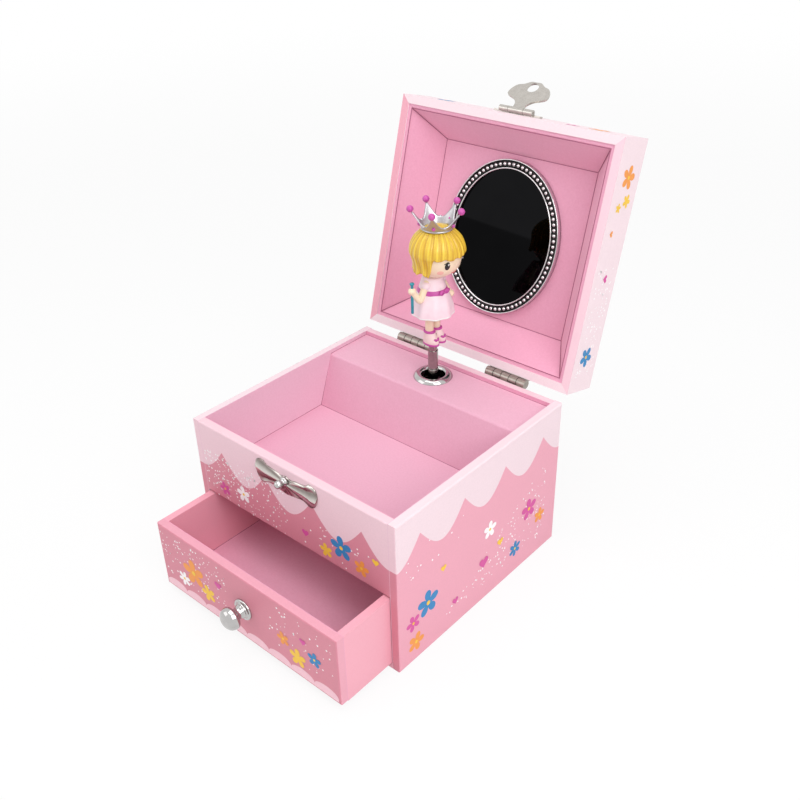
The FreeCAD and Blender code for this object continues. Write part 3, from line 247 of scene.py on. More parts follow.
def printed_paper(name, along, scallop_top, drop, width, inside, ground=PAPER_PINK, pale=PAPER_PALE,
                  lining=FLOCK_PINKS, ends=None):
    """Printed wrapping paper: pale above a row of scallops, pink below, and the lining on the inner side.

    along is the axis the scallops follow. inside is (axis, limit): nearer the middle than that is lining.
    ends is (limit, ground, pale): the board's ends, further along the scallops, have these colours.
    """
    material, tree = start_material(name)
    grain, normal = surface_grain(tree, 0.7, 0.02, 0.12)
    parts = add(tree, "ShaderNodeSeparateXYZ", {0: place_of(tree)}).outputs
    wave = maths(tree, "COSINE", maths(tree, "MULTIPLY", parts[along], pi / (width * MM)))
    edge = maths(tree, "MULTIPLY_ADD", maths(tree, "ABSOLUTE", wave), -drop * MM, scallop_top * MM)
    above = maths(tree, "GREATER_THAN", parts["Z"], edge)
    print_colour = blend_colours(tree, above, ground, pale)
    if ends:
        past = maths(tree, "GREATER_THAN", maths(tree, "ABSOLUTE", parts[along]), ends[0] * MM)
        end_colour = blend_colours(tree, above, ends[1], ends[2])
        print_colour = blend_colours(tree, past, print_colour, end_colour)
    tone = blend_colours(tree, grain, "#f3f3f3", "#ffffff")
    worn = blend_colours(tree, 1.0, print_colour, tone, "MULTIPLY")
    nap = blend_colours(tree, noise(tree, 0.9), *lining)
    inner = maths(tree, "LESS_THAN", maths(tree, "ABSOLUTE", parts[inside[0]]), inside[1] * MM)
    rough = maths(tree, "MULTIPLY_ADD", inner, NAP_ROUGH - PAPER_ROUGH, PAPER_ROUGH)
    end_material(tree, {"Base Color": blend_colours(tree, inner, worn, nap), "Normal": normal,
                        "Roughness": rough, "Specular IOR Level": 0.35})
    return material


SCALLOP_TOP, SCALLOP_DROP = 66.0, 12.0
inner_x, inner_y = HALF_WIDTH - WALL, HALF_DEPTH - WALL
# the sides' paper, pink, pale and lining alike, is a lighter copy of the front and back's: painted light, as
# from the key lamp on the right; the boards' ends keep the front and back's colours
paper_sides = printed_paper("printed_wrapping_paper_sides", "Y", SCALLOP_TOP, SCALLOP_DROP, 28.25,
                            ("X", inner_x + 0.2), "#efa9bb", "#f4dde4", ("#e4bbcc", "#eecada"),
                            (HALF_DEPTH - 0.15, PAPER_PINK, PAPER_PALE))
paper_ends = printed_paper("printed_wrapping_paper_front_back", "X", SCALLOP_TOP, SCALLOP_DROP, 28.0,
                           ("Y", inner_y + 0.2))
paper_drawer = printed_paper("printed_wrapping_paper_drawer", "X", 38.65, 0.0, 28.0, ("Y", 82.7),
                             pale=DRAWER_EDGE, ends=(55.45, DRAWER_EDGE, DRAWER_EDGE))
paper_lid = printed_paper("printed_wrapping_paper_lid", "X", -50.0, 0.0, 28.0, ("X", -1.0), pale="#f8e2e8")
paper_edge = finish("plain_pink_paper", "#eca4b4", "#f0aebd", 0.8, 0.02, 0.12, 0.5)

looks = {
    paper_sides: ("left_side_panel", "right_side_panel"),
    paper_ends: ("front_panel", "back_panel"),
    paper_drawer: ("drawer_front",),
    paper_lid: ("lid_top_panel", "lid_front_wall", "lid_back_wall", "lid_left_wall", "lid_right_wall"),
    flock: ("lid_lining",),
    flock_tray: ("tray_floor", "platform_cover"),
    flock_deep: ("drawer_bottom",),
    paper_edge: ("drawer_left_side", "drawer_right_side", "drawer_back", "bottom_panel"),
    greyboard: ("movement_partition",),
    chrome: ("spindle_ring", "knob_rosette", "drawer_knob", "catch_post"),
    chrome_bright: ("mirror_frame",),
    chrome_dark: ("spindle_tube", "figure_post"),
    nickel: ("catch_plate", "hasp_base", "hasp_leaf", "winding_key"),
    steel: ("left_hinge_case_leaf", "right_hinge_case_leaf", "left_hinge_lid_leaf", "right_hinge_lid_leaf",
            "hinge_pins", "hinge_case_screws", "hinge_lid_screws", "hasp_pin", "knob_screw",
            "movement_screws", "bedplate_screws", "comb", "post_spring", "mainspring", "winding_arbor"),
    mirror: ("mirror_glass",),
    zinc: ("bedplate",),
    brass: ("spring_barrel", "pin_drum", "spindle_pinion", "governor_bracket"),
    nylon: ("governor_fan",),
}
for material, names in looks.items():
    for name in names:
        slots = nodes[name].data.materials
        slots.clear()
        slots.append(material)


# meshes
def piece(name, points, faces, materials, body=None, where=None, indices=None, smooth=True):
    """Mesh from points in millimetres, moved by where; it rides on a body unless it is joined later."""
    mesh = bpy.data.meshes.new(name)
    placed = [where(p) if where else p for p in points]
    mesh.from_pydata([(x * MM, y * MM, z * MM) for x, y, z in placed], [], faces)
    for material in materials if isinstance(materials, list) else [materials]:
        mesh.materials.append(material)
    if indices:
        mesh.polygons.foreach_set("material_index", indices)
    mesh.polygons.foreach_set("use_smooth", [smooth] * len(mesh.polygons))
    obj = bpy.data.objects.new(name, mesh)
    scene.collection.objects.link(obj)
    if body:
        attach(obj, body)
    return obj


def outward(obj):
    """Merges doubles and turns the faces outwards."""
    work = bmesh.new()
    work.from_mesh(obj.data)
    bmesh.ops.remove_doubles(work, verts=work.verts, dist=1e-7)
    bmesh.ops.recalc_face_normals(work, faces=work.faces)
    work.to_mesh(obj.data)
    work.free()
    return obj


def write_relief(obj, attribute, height):
    """Keeps on each vertex how high a relief stands there, from 0 to 1; height gives -1 to 1."""
    marks = obj.data.attributes.new(attribute, "FLOAT", "POINT")
    for vertex in obj.data.vertices:
        marks.data[vertex.index].value = 0.5 + 0.5 * height(*(vertex.co / MM))


def band(first, second, count):
    """Quads between two rings of points, given the number of each ring's first point."""
    return [(first + c, first + (c + 1) % count, second + (c + 1) % count, second + c)
            for c in range(count)]


def grid_faces(rows, columns):
    """Quads of rings of points, each ring joined to the next."""
    return [face for r in range(rows - 1) for face in band(r * columns, (r + 1) * columns, columns)]


def tube_faces(rows, columns):
    """Rings of points with a flat face at either end."""
    last = (rows - 1) * columns
    return grid_faces(rows, columns) + [tuple(range(columns)), tuple(range(last, last + columns))]


def loop_faces(rows, columns):
    """Rings of points, the last ring joined to the first."""
    return grid_faces(rows, columns) + band(0, (rows - 1) * columns, columns)


def shell_faces(rows, columns):
    """An outer and an inner layer of rings, joined along their last rings."""
    layer, last = rows * columns, (rows - 1) * columns
    grid = grid_faces(rows, columns)
    return grid + [tuple(layer + i for i in face) for face in grid] + band(last, layer + last, columns)


def smooth_profile(points, steps):
    """Points along a Catmull-Rom curve through the given ones."""
    out = []
    last = len(points) - 1
    for k in range(last):
        around = (points[max(k - 1, 0)], points[k], points[k + 1], points[min(k + 2, last)])
        for s in range(steps):
            t = s / steps
            out.append(tuple(0.5 * (2 * b + (c - a) * t + (2 * a - 5 * b + 4 * c - d) * t * t
                                    + (3 * b - a - 3 * c + d) * t ** 3) for a, b, c, d in zip(*around)))
    out.append(points[-1])
    return out


def turned(name, profile, material, body=None, where=None, around=64, wave=None):
    """Turned piece about Z from (radius, height) points; wave changes the radius with the angle."""
    points = []
    for r, z in profile:
        for a in turns(around):
            radius = r + (wave(a, z) if wave else 0)
            points.append((radius * cos(a), radius * sin(a), z))
    return outward(piece(name, points, tube_faces(len(profile), around), material, body, where))


def ringed(name, profile, material, body=None, where=None, around=72):
    """Turned ring: a closed profile that doesn't reach the axis."""
    points = [(r * cos(a), r * sin(a), z) for r, z in profile for a in turns(around)]
    return outward(piece(name, points, loop_faces(len(profile), around), material, body, where))


def swept(name, path, radii, material, where=None, around=20):
    """Round limb or stick along a smooth path, its radius changing along it, with domed ends."""
    line = smooth_profile([tuple(p) + (r,) for p, r in zip(path, radii)], 8)
    spots = [Vector(p[:3]) for p in line]
    widths = [p[3] for p in line]
    first, last = (spots[1] - spots[0]).normalized(), (spots[-1] - spots[-2]).normalized()
    dome = [(0.02, 1.0), (0.5, 0.87), (0.87, 0.5)]
    start = [(spots[0] - first * widths[0] * h, widths[0] * w) for w, h in dome]
    end = [(spots[-1] + last * widths[-1] * h, widths[-1] * w) for w, h in reversed(dome)]
    rings = start + list(zip(spots, widths)) + end
    side = first.orthogonal().normalized()
    points = []
    for k, (spot, width) in enumerate(rings):
        a, b = rings[max(k - 1, 0)][0], rings[min(k + 1, len(rings) - 1)][0]
        ahead = (b - a).normalized()
        side = (side - ahead * side.dot(ahead)).normalized()
        other = ahead.cross(side)
        points += [tuple(spot + (side * cos(t) + other * sin(t)) * width) for t in turns(around)]
    return outward(piece(name, points, tube_faces(len(rings), around), material, where=where))


def joined(name, objects, body):
    """One piece riding on a body, from several drawn apart; each keeps its material."""
    materials, points, faces, indices = [], [], [], []
    for obj in objects:
        mesh = obj.data
        if mesh.materials[0] not in materials:
            materials.append(mesh.materials[0])
        start = len(points)
        points += [tuple(v.co / MM) for v in mesh.vertices]
        faces += [tuple(start + i for i in p.vertices) for p in mesh.polygons]
        indices += [materials.index(mesh.materials[0])] * len(mesh.polygons)
        bpy.data.objects.remove(obj)
        bpy.data.meshes.remove(mesh)
    return piece(name, points, faces, materials, body, None, indices)


# repeated things: beads along an oval and sprays of printed dots
def start_tree(name, measures, counts):
    """Geometry tree with named inputs and one geometry output; gives the tree and its inputs."""
    tree = bpy.data.node_groups.new(name, "GeometryNodeTree")
    for label in measures + counts:
        kind = "NodeSocketInt" if label in counts else "NodeSocketFloat"
        tree.interface.new_socket(name=label, in_out="INPUT", socket_type=kind)
    tree.interface.new_socket(name="Geometry", in_out="OUTPUT", socket_type="NodeSocketGeometry")
    return tree, add(tree, "NodeGroupInput").outputs


def grow(tree, kind, inputs=None, **settings):
    """What a geometry node gives out."""
    return add(tree, "GeometryNode" + kind, inputs, **settings).outputs[0]


def end_tree(tree, points, shape, scale=(1, 1, 1)):
    """Sets a shape on every point and gives that out."""
    spread = grow(tree, "InstanceOnPoints", {"Points": points, "Instance": shape, "Scale": scale})
    add(tree, "NodeGroupOutput", {0: grow(tree, "RealizeInstances", {"Geometry": spread})})


def grown(tree, values):
    """Points in millimetres, and faces, of the mesh that the tree gives with these input values."""
    blank = bpy.data.meshes.new(tree.name)
    carrier = bpy.data.objects.new(tree.name, blank)
    scene.collection.objects.link(carrier)
    modifier = carrier.modifiers.new("grow", "NODES")
    modifier.node_group = tree
    for item in tree.interface.items_tree:
        if item.in_out == "INPUT":
            modifier[item.identifier] = values[item.name]
    mesh = bpy.data.meshes.new_from_object(carrier.evaluated_get(bpy.context.evaluated_depsgraph_get()))
    points = [(v.co.x / MM, v.co.y / MM, v.co.z / MM) for v in mesh.vertices]
    faces = [tuple(p.vertices) for p in mesh.polygons]
    bpy.data.objects.remove(carrier)
    bpy.data.meshes.remove(blank)
    bpy.data.meshes.remove(mesh)
    return points, faces


beads, given = start_tree("beads_along_an_oval", ["Half width", "Half height", "Bead radius"], ["Count"])
circle = grow(beads, "CurvePrimitiveCircle", {"Resolution": 160, "Radius": 1.0})
stretch = add(beads, "ShaderNodeCombineXYZ", {0: given["Half width"], 1: given["Half height"], 2: 1.0})
oval = grow(beads, "Transform", {"Geometry": circle, "Scale": stretch.outputs[0]})
even = grow(beads, "ResampleCurve", {"Curve": oval, "Count": given["Count"]})
bead = grow(beads, "MeshUVSphere", {"Segments": 10, "Rings": 6, "Radius": given["Bead radius"]})
end_tree(beads, even, bead)

dots, given = start_tree("spray_of_printed_dots",
                         ["Width", "Height", "Density", "Dot radius", "Patch size"], ["Seed"])
sheet = grow(dots, "MeshGrid", {"Size X": given["Width"], "Size Y": given["Height"],
                                "Vertices X": 2, "Vertices Y": 2})
fineness = maths(dots, "DIVIDE", 1.0, given["Patch size"])
patches = add(dots, "ShaderNodeTexNoise", {"Vector": grow(dots, "InputPosition"), "W": given["Seed"],
                                           "Scale": fineness, "Detail": 1.0}, noise_dimensions="4D")
gather = add(dots, "ShaderNodeMapRange", {"Value": patches.outputs[0], "From Min": 0.5, "From Max": 0.72})
share = maths(dots, "MULTIPLY", gather.outputs[0], given["Density"])
scatter = grow(dots, "DistributePointsOnFaces", {"Mesh": sheet, "Density": share, "Seed": given["Seed"]})
dot = grow(dots, "MeshCircle", {"Vertices": 8, "Radius": given["Dot radius"]}, fill_type="NGON")
sizes = add(dots, "FunctionNodeRandomValue", {2: 0.4, 3: 1.0, "Seed": 5})
end_tree(dots, scatter, dot, sizes.outputs[1])


# printed figures on the paper, drawn flat as (u, v) outlines
def flower(u, v, size, turn, petals=5):
    """Outline of a round-petalled flower."""
    out = []
    for a in turns(petals * 12):
        r = 1.2 * size * (0.3 + 0.7 * abs(sin(petals * (a + turn) / 2)) ** 0.7)
        out.append((u + r * cos(a), v + r * sin(a)))
    return out


def disc(u, v, size):
    return [(u + size * cos(a), v + size * sin(a)) for a in turns(20)]


def heart(u, v, size):
    out = []
    for t in turns(36):
        rise = 0.81 * cos(t) - 0.31 * cos(2 * t) - 0.12 * cos(3 * t) - 0.06 * cos(4 * t)
        out.append((u - size * sin(t) ** 3, v + size * rise))
    return out


def scallops(u0, u1, v, lobe, rise):
    """Row of half-round lobes standing on the line v."""
    out = [(u0, v), (u1, v)]
    count = max(1, round((u1 - u0) / lobe))
    width = (u1 - u0) / count
    for k in range(count):
        for s in range(13):
            a = pi * s / 12
            out.append((u1 - width * (k + 0.5 - 0.5 * cos(a)), v + rise * (0.35 + 0.65 * sin(a))))
    return out


PROUD, INK_STEP = 0.03, 0.012
DOT_RADIUS, DOT_PATCH = 0.5, 26.0
papers = {
    "right_side": ("case", lambda u, v, h: (HALF_WIDTH + PROUD + h, u, v)),
    "left_side": ("case", lambda u, v, h: (-HALF_WIDTH - PROUD - h, -u, v)),
    "front": ("case", lambda u, v, h: (u, -HALF_DEPTH - PROUD - h, v)),
    "back": ("case", lambda u, v, h: (-u, HALF_DEPTH + PROUD + h, v)),
    "drawer_front": ("drawer", lambda u, v, h: (u, DRAWER_FACE - PROUD - h, v)),
    "lid_right": ("lid", lambda u, v, h: opened((HALF_WIDTH + PROUD + h, u, v))),
    "lid_left": ("lid", lambda u, v, h: opened((-HALF_WIDTH - PROUD - h, -u, v))),
    "lid_front": ("lid", lambda u, v, h: opened((u, -HALF_DEPTH - PROUD - h, v))),
    "lid_top": ("lid", lambda u, v, h: opened((u, v, LID_TOP + PROUD + h))),
    "lid_rim": ("lid", lambda u, v, h: opened((u, -v, LID_RIM - PROUD - h))),
}


def print_on(paper, figures):
    """Prints figures, each an ink and its outlines, on one paper as a single flat piece."""
    body, where = papers[paper]
    points, faces, indices = [], [], []
    for layer, (_, outlines) in enumerate(figures):
        for outline in outlines:
            start = len(points)
            points += [where(u, v, INK_STEP * layer) for u, v in outline]
            faces.append(tuple(range(start, start + len(outline))))
            indices.append(layer)
    inks = [INKS[ink] for ink, _ in figures]
    piece("print_" + paper, points, faces, inks, body, None, indices, False)


def spray_on(paper, centre, width, height, density, seed):
    """Spray of white dots round a centre on one paper."""
    body, where = papers[paper]
    points, faces = grown(dots, {"Width": width * MM, "Height": height * MM, "Density": density, "Seed": seed,
                                 "Dot radius": DOT_RADIUS * MM, "Patch size": DOT_PATCH * MM})
    points = [where(centre[0] + x, centre[1] + y, -INK_STEP) for x, y, _ in points]
    piece("dots_%s_%d" % (paper, seed), points, faces, INKS["white"], body, smooth=False)


def decorate(paper, flowers, hearts=(), sprays=(), under=()):
    """Prints on one paper: under layers, flowers with round eyes, then hearts, and sprays of dots.

    A flower is (ink, u, v, size, turn) and petals if not five. Hearts are an ink and each (u, v, size).
    A spray is (centre, width, height, density, seed).
    """
    figures = list(under) + [(ink, [flower(*shape)]) for ink, *shape in flowers]
    figures.append(("yellow", [disc(u, v, 0.2 * size) for _, u, v, size, *_ in flowers]))
    print_on(paper, figures + [(ink, [heart(*spot) for spot in spots]) for ink, spots in hearts])
    for spray in sprays:
        spray_on(paper, *spray)


decorate("right_side", [
    ("blue", -38, 26, 5.6, 0.3), ("magenta", -47.5, 21.5, 3.6, 0.0), ("orange", -46, 10, 4.2, 0.7),
    ("magenta", 34, 31, 4.8, 0.2), ("orange", 43, 22, 3.4, 0.5), ("blue", 24, 14, 3.6, 0.1, 6),
    ("white", 4, 38, 3.8, 0.4)],
    [("magenta", [(0, 22, 3.2), (-20, 14, 2.0)]), ("yellow", [(12, 26, 2.2), (-28, 38, 1.8)])],
    [((8, 30), 78, 42, 620000, 3), ((-30, 52), 44, 14, 180000, 8)])
decorate("left_side", [
    ("orange", -40, 28, 4.8, 0.3), ("blue", -30, 14, 5.2, 0.1), ("magenta", 30, 24, 5.4, 0.6),
    ("white", 2, 34, 3.8, 0.2), ("orange", 44, 12, 3.6, 0.4, 6)],
    [("magenta", [(-8, 18, 2.6)]), ("yellow", [(16, 34, 2.2)])], [((0, 28), 96, 44, 520000, 4)])
decorate("front", [
    ("blue", 30, 51, 5.0, 0.2), ("orange", 41, 46.5, 3.4, 0.5), ("yellow", 21, 45, 3.0, 0.1),
    ("white", -30, 49, 3.6, 0.2), ("magenta", -43, 46, 3.0, 0.0)],
    [("yellow", [(49, 54, 1.8)]), ("magenta", [(9, 48, 2.0)])],
    [((-28, 52), 54, 24, 900000, 5), ((30, 48), 44, 16, 420000, 9)])
decorate("back", [
    ("blue", -46, 37, 5.0, 0.2), ("magenta", -34, 11, 3.6, 0.5), ("orange", 42, 22, 4.6, 0.1)],
    sprays=[((0, 28), 96, 44, 420000, 6)])
decorate("drawer_front", [
    ("orange", -33, 22, 6.0, 0.2), ("yellow", -24, 15.5, 3.8, 0.0), ("white", -41, 14.5, 3.4, 0.2, 6),
    ("yellow", 32, 14.5, 4.0, 0.3), ("orange", 24, 20, 3.0, 0.0), ("blue", 42, 20, 3.2, 0.4)],
    [("magenta", [(-16, 25, 2.2), (36, 26, 1.8)])],
    [((-32, 24), 44, 24, 420000, 7), ((34, 24), 38, 24, 420000, 11)],
    [("pale_pink", [scallops(-54.5, 54.5, 4.9, 13.6, 4.6)])])
decorate("lid_right", [
    ("orange", -40, 88, 4.4, 0.2), ("yellow", -30, 91, 2.6, 0.4), ("yellow", -27, 85, 1.8, 0.1),
    ("blue", 40, 87, 4.0, 0.5)],
    [("magenta", [(4, 88, 1.8)]), ("orange", [(-16, 84, 1.4)])], [((24, 88), 50, 14, 520000, 12)])
decorate("lid_left", [
    ("orange", 40, 88, 4.4, 0.2), ("blue", -38, 88, 4.0, 0.5), ("magenta", 4, 88, 3.2, 0.2)],
    sprays=[((0, 88), 96, 14, 420000, 13)])
decorate("lid_front", [
    ("blue", -42, 88, 4.0, 0.2), ("orange", 42, 88, 4.2, 0.5), ("magenta", 30, 85, 2.6, 0.2)])
# wreath of large and small flowers, with leaves inside it
WREATH, LEAVES, IN_WREATH = 34, 25.5, 16
wreath_inks = ("blue", "magenta", "orange", "white")
wreath = [(wreath_inks[k % 4], WREATH * cos(a), WREATH * sin(a), (5.6, 4.2)[k % 2], a)
          for k, a in enumerate(turns(IN_WREATH))]
leaf_turns = [2 * pi * (k + 0.5) / IN_WREATH for k in range(IN_WREATH)]
leaves = [flower(LEAVES * cos(a), LEAVES * sin(a), 2.0, a, 3) for a in leaf_turns]
decorate("lid_top", wreath, [("magenta", [(0, 0, 7.0)])], [((0, 0), 108, 100, 300000, 14)],
         [("leaf", leaves)])
# the side walls' turned-in paper is pinker than the lid's outside
rim_left = [(-HALF_WIDTH, -HALF_DEPTH), (-inner_x, -inner_y), (-inner_x, inner_y),
            (-HALF_WIDTH, HALF_DEPTH)]
rim_right = [(-u, v) for u, v in reversed(rim_left)]
print_on("lid_rim", [("edge_pink", [rim_left]), ("edge_pale", [rim_right])])

# creases where the lining papers meet, drawn as thin dark lines of painted shade
CREASE_RADIUS = 0.17


def crease(name, body, lines, where=None):
    """Thin sunk lines of painted shade along the edges of a lining."""
    parts = []
    for a, b in lines:
        middle = tuple((p + q) / 2 for p, q in zip(a, b))
        parts.append(swept("crease", [a, middle, b], [CREASE_RADIUS] * 3, crease_shade_pink, where, 6))
    joined(name, parts, body)


def corners(half_x, y0, y1, z):
    return [(-half_x, y0, z), (half_x, y0, z), (half_x, y1, z), (-half_x, y1, z)]


def ring_edges(ring):
    return [(ring[k], ring[(k + 1) % 4]) for k in range(4)]


tray_lines = ring_edges(corners(inner_x, -inner_y, PLATFORM_FOOT, TRAY_FLOOR))
for x in (-inner_x, inner_x):
    tray_lines.append(((x, -inner_y, TRAY_FLOOR), (x, -inner_y, HEIGHT - 0.8)))
    tray_lines.append(((x, PLATFORM_FOOT, TRAY_FLOOR), (x, PLATFORM_BROW, PLATFORM_TOP - 0.6)))
    tray_lines.append(((x, PLATFORM_BROW, PLATFORM_TOP), (x, inner_y, PLATFORM_TOP)))
tray_lines.append(((-inner_x, inner_y, PLATFORM_TOP), (inner_x, inner_y, PLATFORM_TOP)))
crease("tray_creases", "case", tray_lines)
drawer_low = corners(DRAWER_X, DRAWER_FRONT, DRAWER_BACK, DRAWER_FLOOR)
drawer_high = corners(DRAWER_X, DRAWER_FRONT, DRAWER_BACK, DRAWER_RIM)
crease("drawer_creases", "drawer", ring_edges(drawer_low) + list(zip(drawer_low, drawer_high)))
lid_low = corners(LINING_X, -LINING_Y, LINING_Y, LINING_Z)
lid_high = corners(CEILING_X, -CEILING_Y, CEILING_Y, CEILING_Z)
lid_lines = ring_edges(lid_low) + ring_edges(lid_high) + list(zip(lid_low, lid_high))
crease("lid_creases", "lid", lid_lines, opened)

# mirror frame: two thin lips with a row of beads in a near-black channel of painted shade between them, each
# lip and the channel a closed section of (inset from the edge, height off the lining)
OUTER_LIP = [(0.0, 0.0), (0.0, 2.2), (0.12, 2.72), (0.36, 2.95), (0.62, 2.75), (0.74, 2.2), (0.74, 1.7),
             (0.74, 0.0)]
CHANNEL = [(0.74, 0.0), (0.74, 1.9), (3.86, 1.9), (3.86, 0.0)]
INNER_LIP = [(3.86, 0.0), (3.86, 2.2), (3.98, 2.6), (4.22, 2.76), (4.48, 2.6), (4.6, 2.2), (4.6, 1.3),
             (4.6, 1.22)]
BEADS, BEAD_RADIUS, BEAD_INSET, BEAD_HEIGHT = 80, 0.92, 2.3, 2.3
OVAL_SIDES = 128


def oval_band(name, section, material):
    points = [((MIRROR_X - inset) * cos(a), (MIRROR_Y - inset) * sin(a), CEILING_Z - height)
              for inset, height in section for a in turns(OVAL_SIDES)]
    return outward(piece(name, points, loop_faces(len(section), OVAL_SIDES), material, where=opened))


frame_parts = [oval_band("outer_lip", OUTER_LIP, chrome_bright),
               oval_band("channel", CHANNEL, shade_black),
               oval_band("inner_lip", INNER_LIP, chrome_bright)]
half_width, half_height = (MIRROR_X - BEAD_INSET) * MM, (MIRROR_Y - BEAD_INSET) * MM
bead_points, bead_faces = grown(beads, {"Half width": half_width, "Half height": half_height, "Count": BEADS,
                                        "Bead radius": BEAD_RADIUS * MM})
bead_points = [(x, y, CEILING_Z - BEAD_HEIGHT + z) for x, y, z in bead_points]
frame_parts.append(piece("beads", bead_points, bead_faces, chrome_bright, where=opened))
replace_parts(joined("mirror_frame_beaded", frame_parts, "lid"), "mirror_frame")

# painted shadow: near-black rings in the gaps between the hinges' knuckles
GAP = [(2.0, -0.16), (2.23, -0.16), (2.23, 0.16), (2.0, 0.16)]
gap_parts = []
for centre in (-HINGE_X, HINGE_X):
    for k in range(1, KNUCKLES):
        x = centre - HINGE_LENGTH / 2 + HINGE_LENGTH * k / KNUCKLES
        gap_parts.append(ringed("knuckle_gap", GAP, shade_black, around=40,
                                where=lambda p, x=x: (x + p[2], HINGE_Y + p[0], HINGE_Z + p[1])))
joined("hinge_knuckle_gaps", gap_parts, "case")


# turned fittings with smooth curves
def on_platform(p):
    return (p[0] + SPINDLE[0], p[1] + SPINDLE[1], p[2] + PLATFORM_TOP)


def on_drawer(p):
    """Turned piece whose axis points out of the drawer's front."""
    return (p[0], DRAWER_FACE - p[2], p[1] + KNOB_Z)


def on_front(p):
    """Turned or pressed piece that stands out of the front panel at the catch."""
    return (p[0], -HALF_DEPTH - p[2], p[1] + CATCH_Z)


eyelet = smooth_profile([(5.5, -3.2), (5.5, -0.4), (5.55, 0.7), (6.0, 1.55), (7.0, 1.9), (8.1, 1.65),
                         (9.0, 0.85), (9.4, 0.1)], 5) + [(9.3, 0.0), (6.1, 0.0), (6.1, -3.2)]
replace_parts(ringed("spindle_eyelet", eyelet, chrome, "case", on_platform), "spindle_ring")
rosette = smooth_profile([(5.1, 0.0), (5.1, 0.5), (4.8, 0.95), (4.1, 1.1), (3.9, 1.25), (3.75, 1.65)], 4)
rosette = [(1.7, 0.0)] + rosette + [(3.3, 1.7), (1.7, 1.7)]
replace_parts(ringed("knob_rosette_turned", rosette, chrome, "drawer", on_drawer), "knob_rosette")
knob = smooth_profile([(3.35, 1.7), (3.1, 2.3), (2.6, 3.6), (2.75, 5.0), (3.6, 5.6), (4.8, 5.9),
                       (5.25, 6.7), (5.2, 7.6), (4.5, 9.2), (2.9, 10.35), (1.2, 10.65), (0.05, 10.7)], 4)
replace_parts(turned("drawer_knob_turned", knob, chrome, "drawer", on_drawer), "drawer_knob")
post = smooth_profile([(2.0, 0.9), (2.0, 1.6), (1.5, 2.3), (1.45, 3.1), (1.85, 3.9), (1.75, 4.8),
                       (1.2, 5.7), (0.05, 6.1)], 4)
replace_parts(turned("catch_post_turned", post, chrome, "case", on_front), "catch_post")

# catch plate: pressed sheet, domed lobes like a tied bow with folds running out from the knot
BOW = [(0, 3.6), (3.0, 2.9), (5.9, 3.6), (11.1, 4.2), (13.7, 5.8), (17.2, 5.0), (18.5, 1.2), (17.2, -3.5),
       (14.1, -5.6), (10.4, -4.1), (6.3, -4.5), (3.0, -5.2), (0, -5.8)]
SPINE_REACH, SPINE_UP, FOLDS, FOLD_HEIGHT = 14.0, -0.4, 15.0, 0.24


def press_wave(across, up):
    """Height of the folds that run out from the knot, -1 in a furrow and 1 on a ridge."""
    return cos(FOLDS * atan2(up, abs(across) + 2.0) + 1.1 * tanh(across / 3.0))


def domed_bow():
    """The bow's outline drawn in towards its own spine in rings that rise to a crest with pressed folds.

    Both the folds and the rise are lower near the knot, where the hasp comes down on the plate.
    """
    outline = smooth_profile(BOW, 10)
    outline += [(-u, v) for u, v in reversed(outline[1:-1])]
    rings = [(1.0, 0.0), (1.0, 0.3), (0.96, 0.55)]
    rings += [(0.92 - 0.088 * k, 0.72 + 0.05 * k) for k in range(11)]
    points = []
    for share, rise in rings:
        for u, v in outline:
            spine = max(-SPINE_REACH, min(SPINE_REACH, u))
            across, up = spine + (u - spine) * share, SPINE_UP + (v - SPINE_UP) * share
            if share < 0.95:
                flute = FOLD_HEIGHT * press_wave(across, up) * min(1.0, abs(across) / 12.0)
            else:
                flute = 0.0
            low = 0.64 + 0.36 * min(1.0, abs(across) / 13.0)
            points.append((across, up - CATCH_DROP, (rise + flute) * low))
    faces = tube_faces(len(rings), len(outline))
    return outward(piece("catch_plate_pressed", points, faces, nickel_relief_shaded, "case", on_front))


bow = domed_bow()
# the crest heights paint shade into the plate's furrows and light onto its ridges
write_relief(bow, "crest", lambda x, y, z: press_wave(x, z - CATCH_Z + CATCH_DROP))
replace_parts(bow, "catch_plate")

# spring in the post: a close-wound coil that shows only where the post folds
COIL_RADIUS, COIL_WIRE, COIL_TURNS, TURN_STEPS, WIRE_SIDES = 1.3, 0.28, 36, 14, 6
coil_low, coil_high, coil_steps = FOLD_Z - 13.0, FOLD_Z + 7.0, COIL_TURNS * TURN_STEPS
coil_points = []
for k in range(coil_steps + 1):
    a = 2 * pi * k / TURN_STEPS
    z = coil_low + (coil_high - coil_low) * k / coil_steps
    for t in turns(WIRE_SIDES):
        r = COIL_RADIUS + COIL_WIRE * cos(t)
        coil_points.append((SPINDLE[0] + r * cos(a), SPINDLE[1] + r * sin(a), z + COIL_WIRE * sin(t)))
coil = outward(piece("post_coil", coil_points, tube_faces(coil_steps + 1, WIRE_SIDES), steel))
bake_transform(coil)
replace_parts(coil, "post_spring")

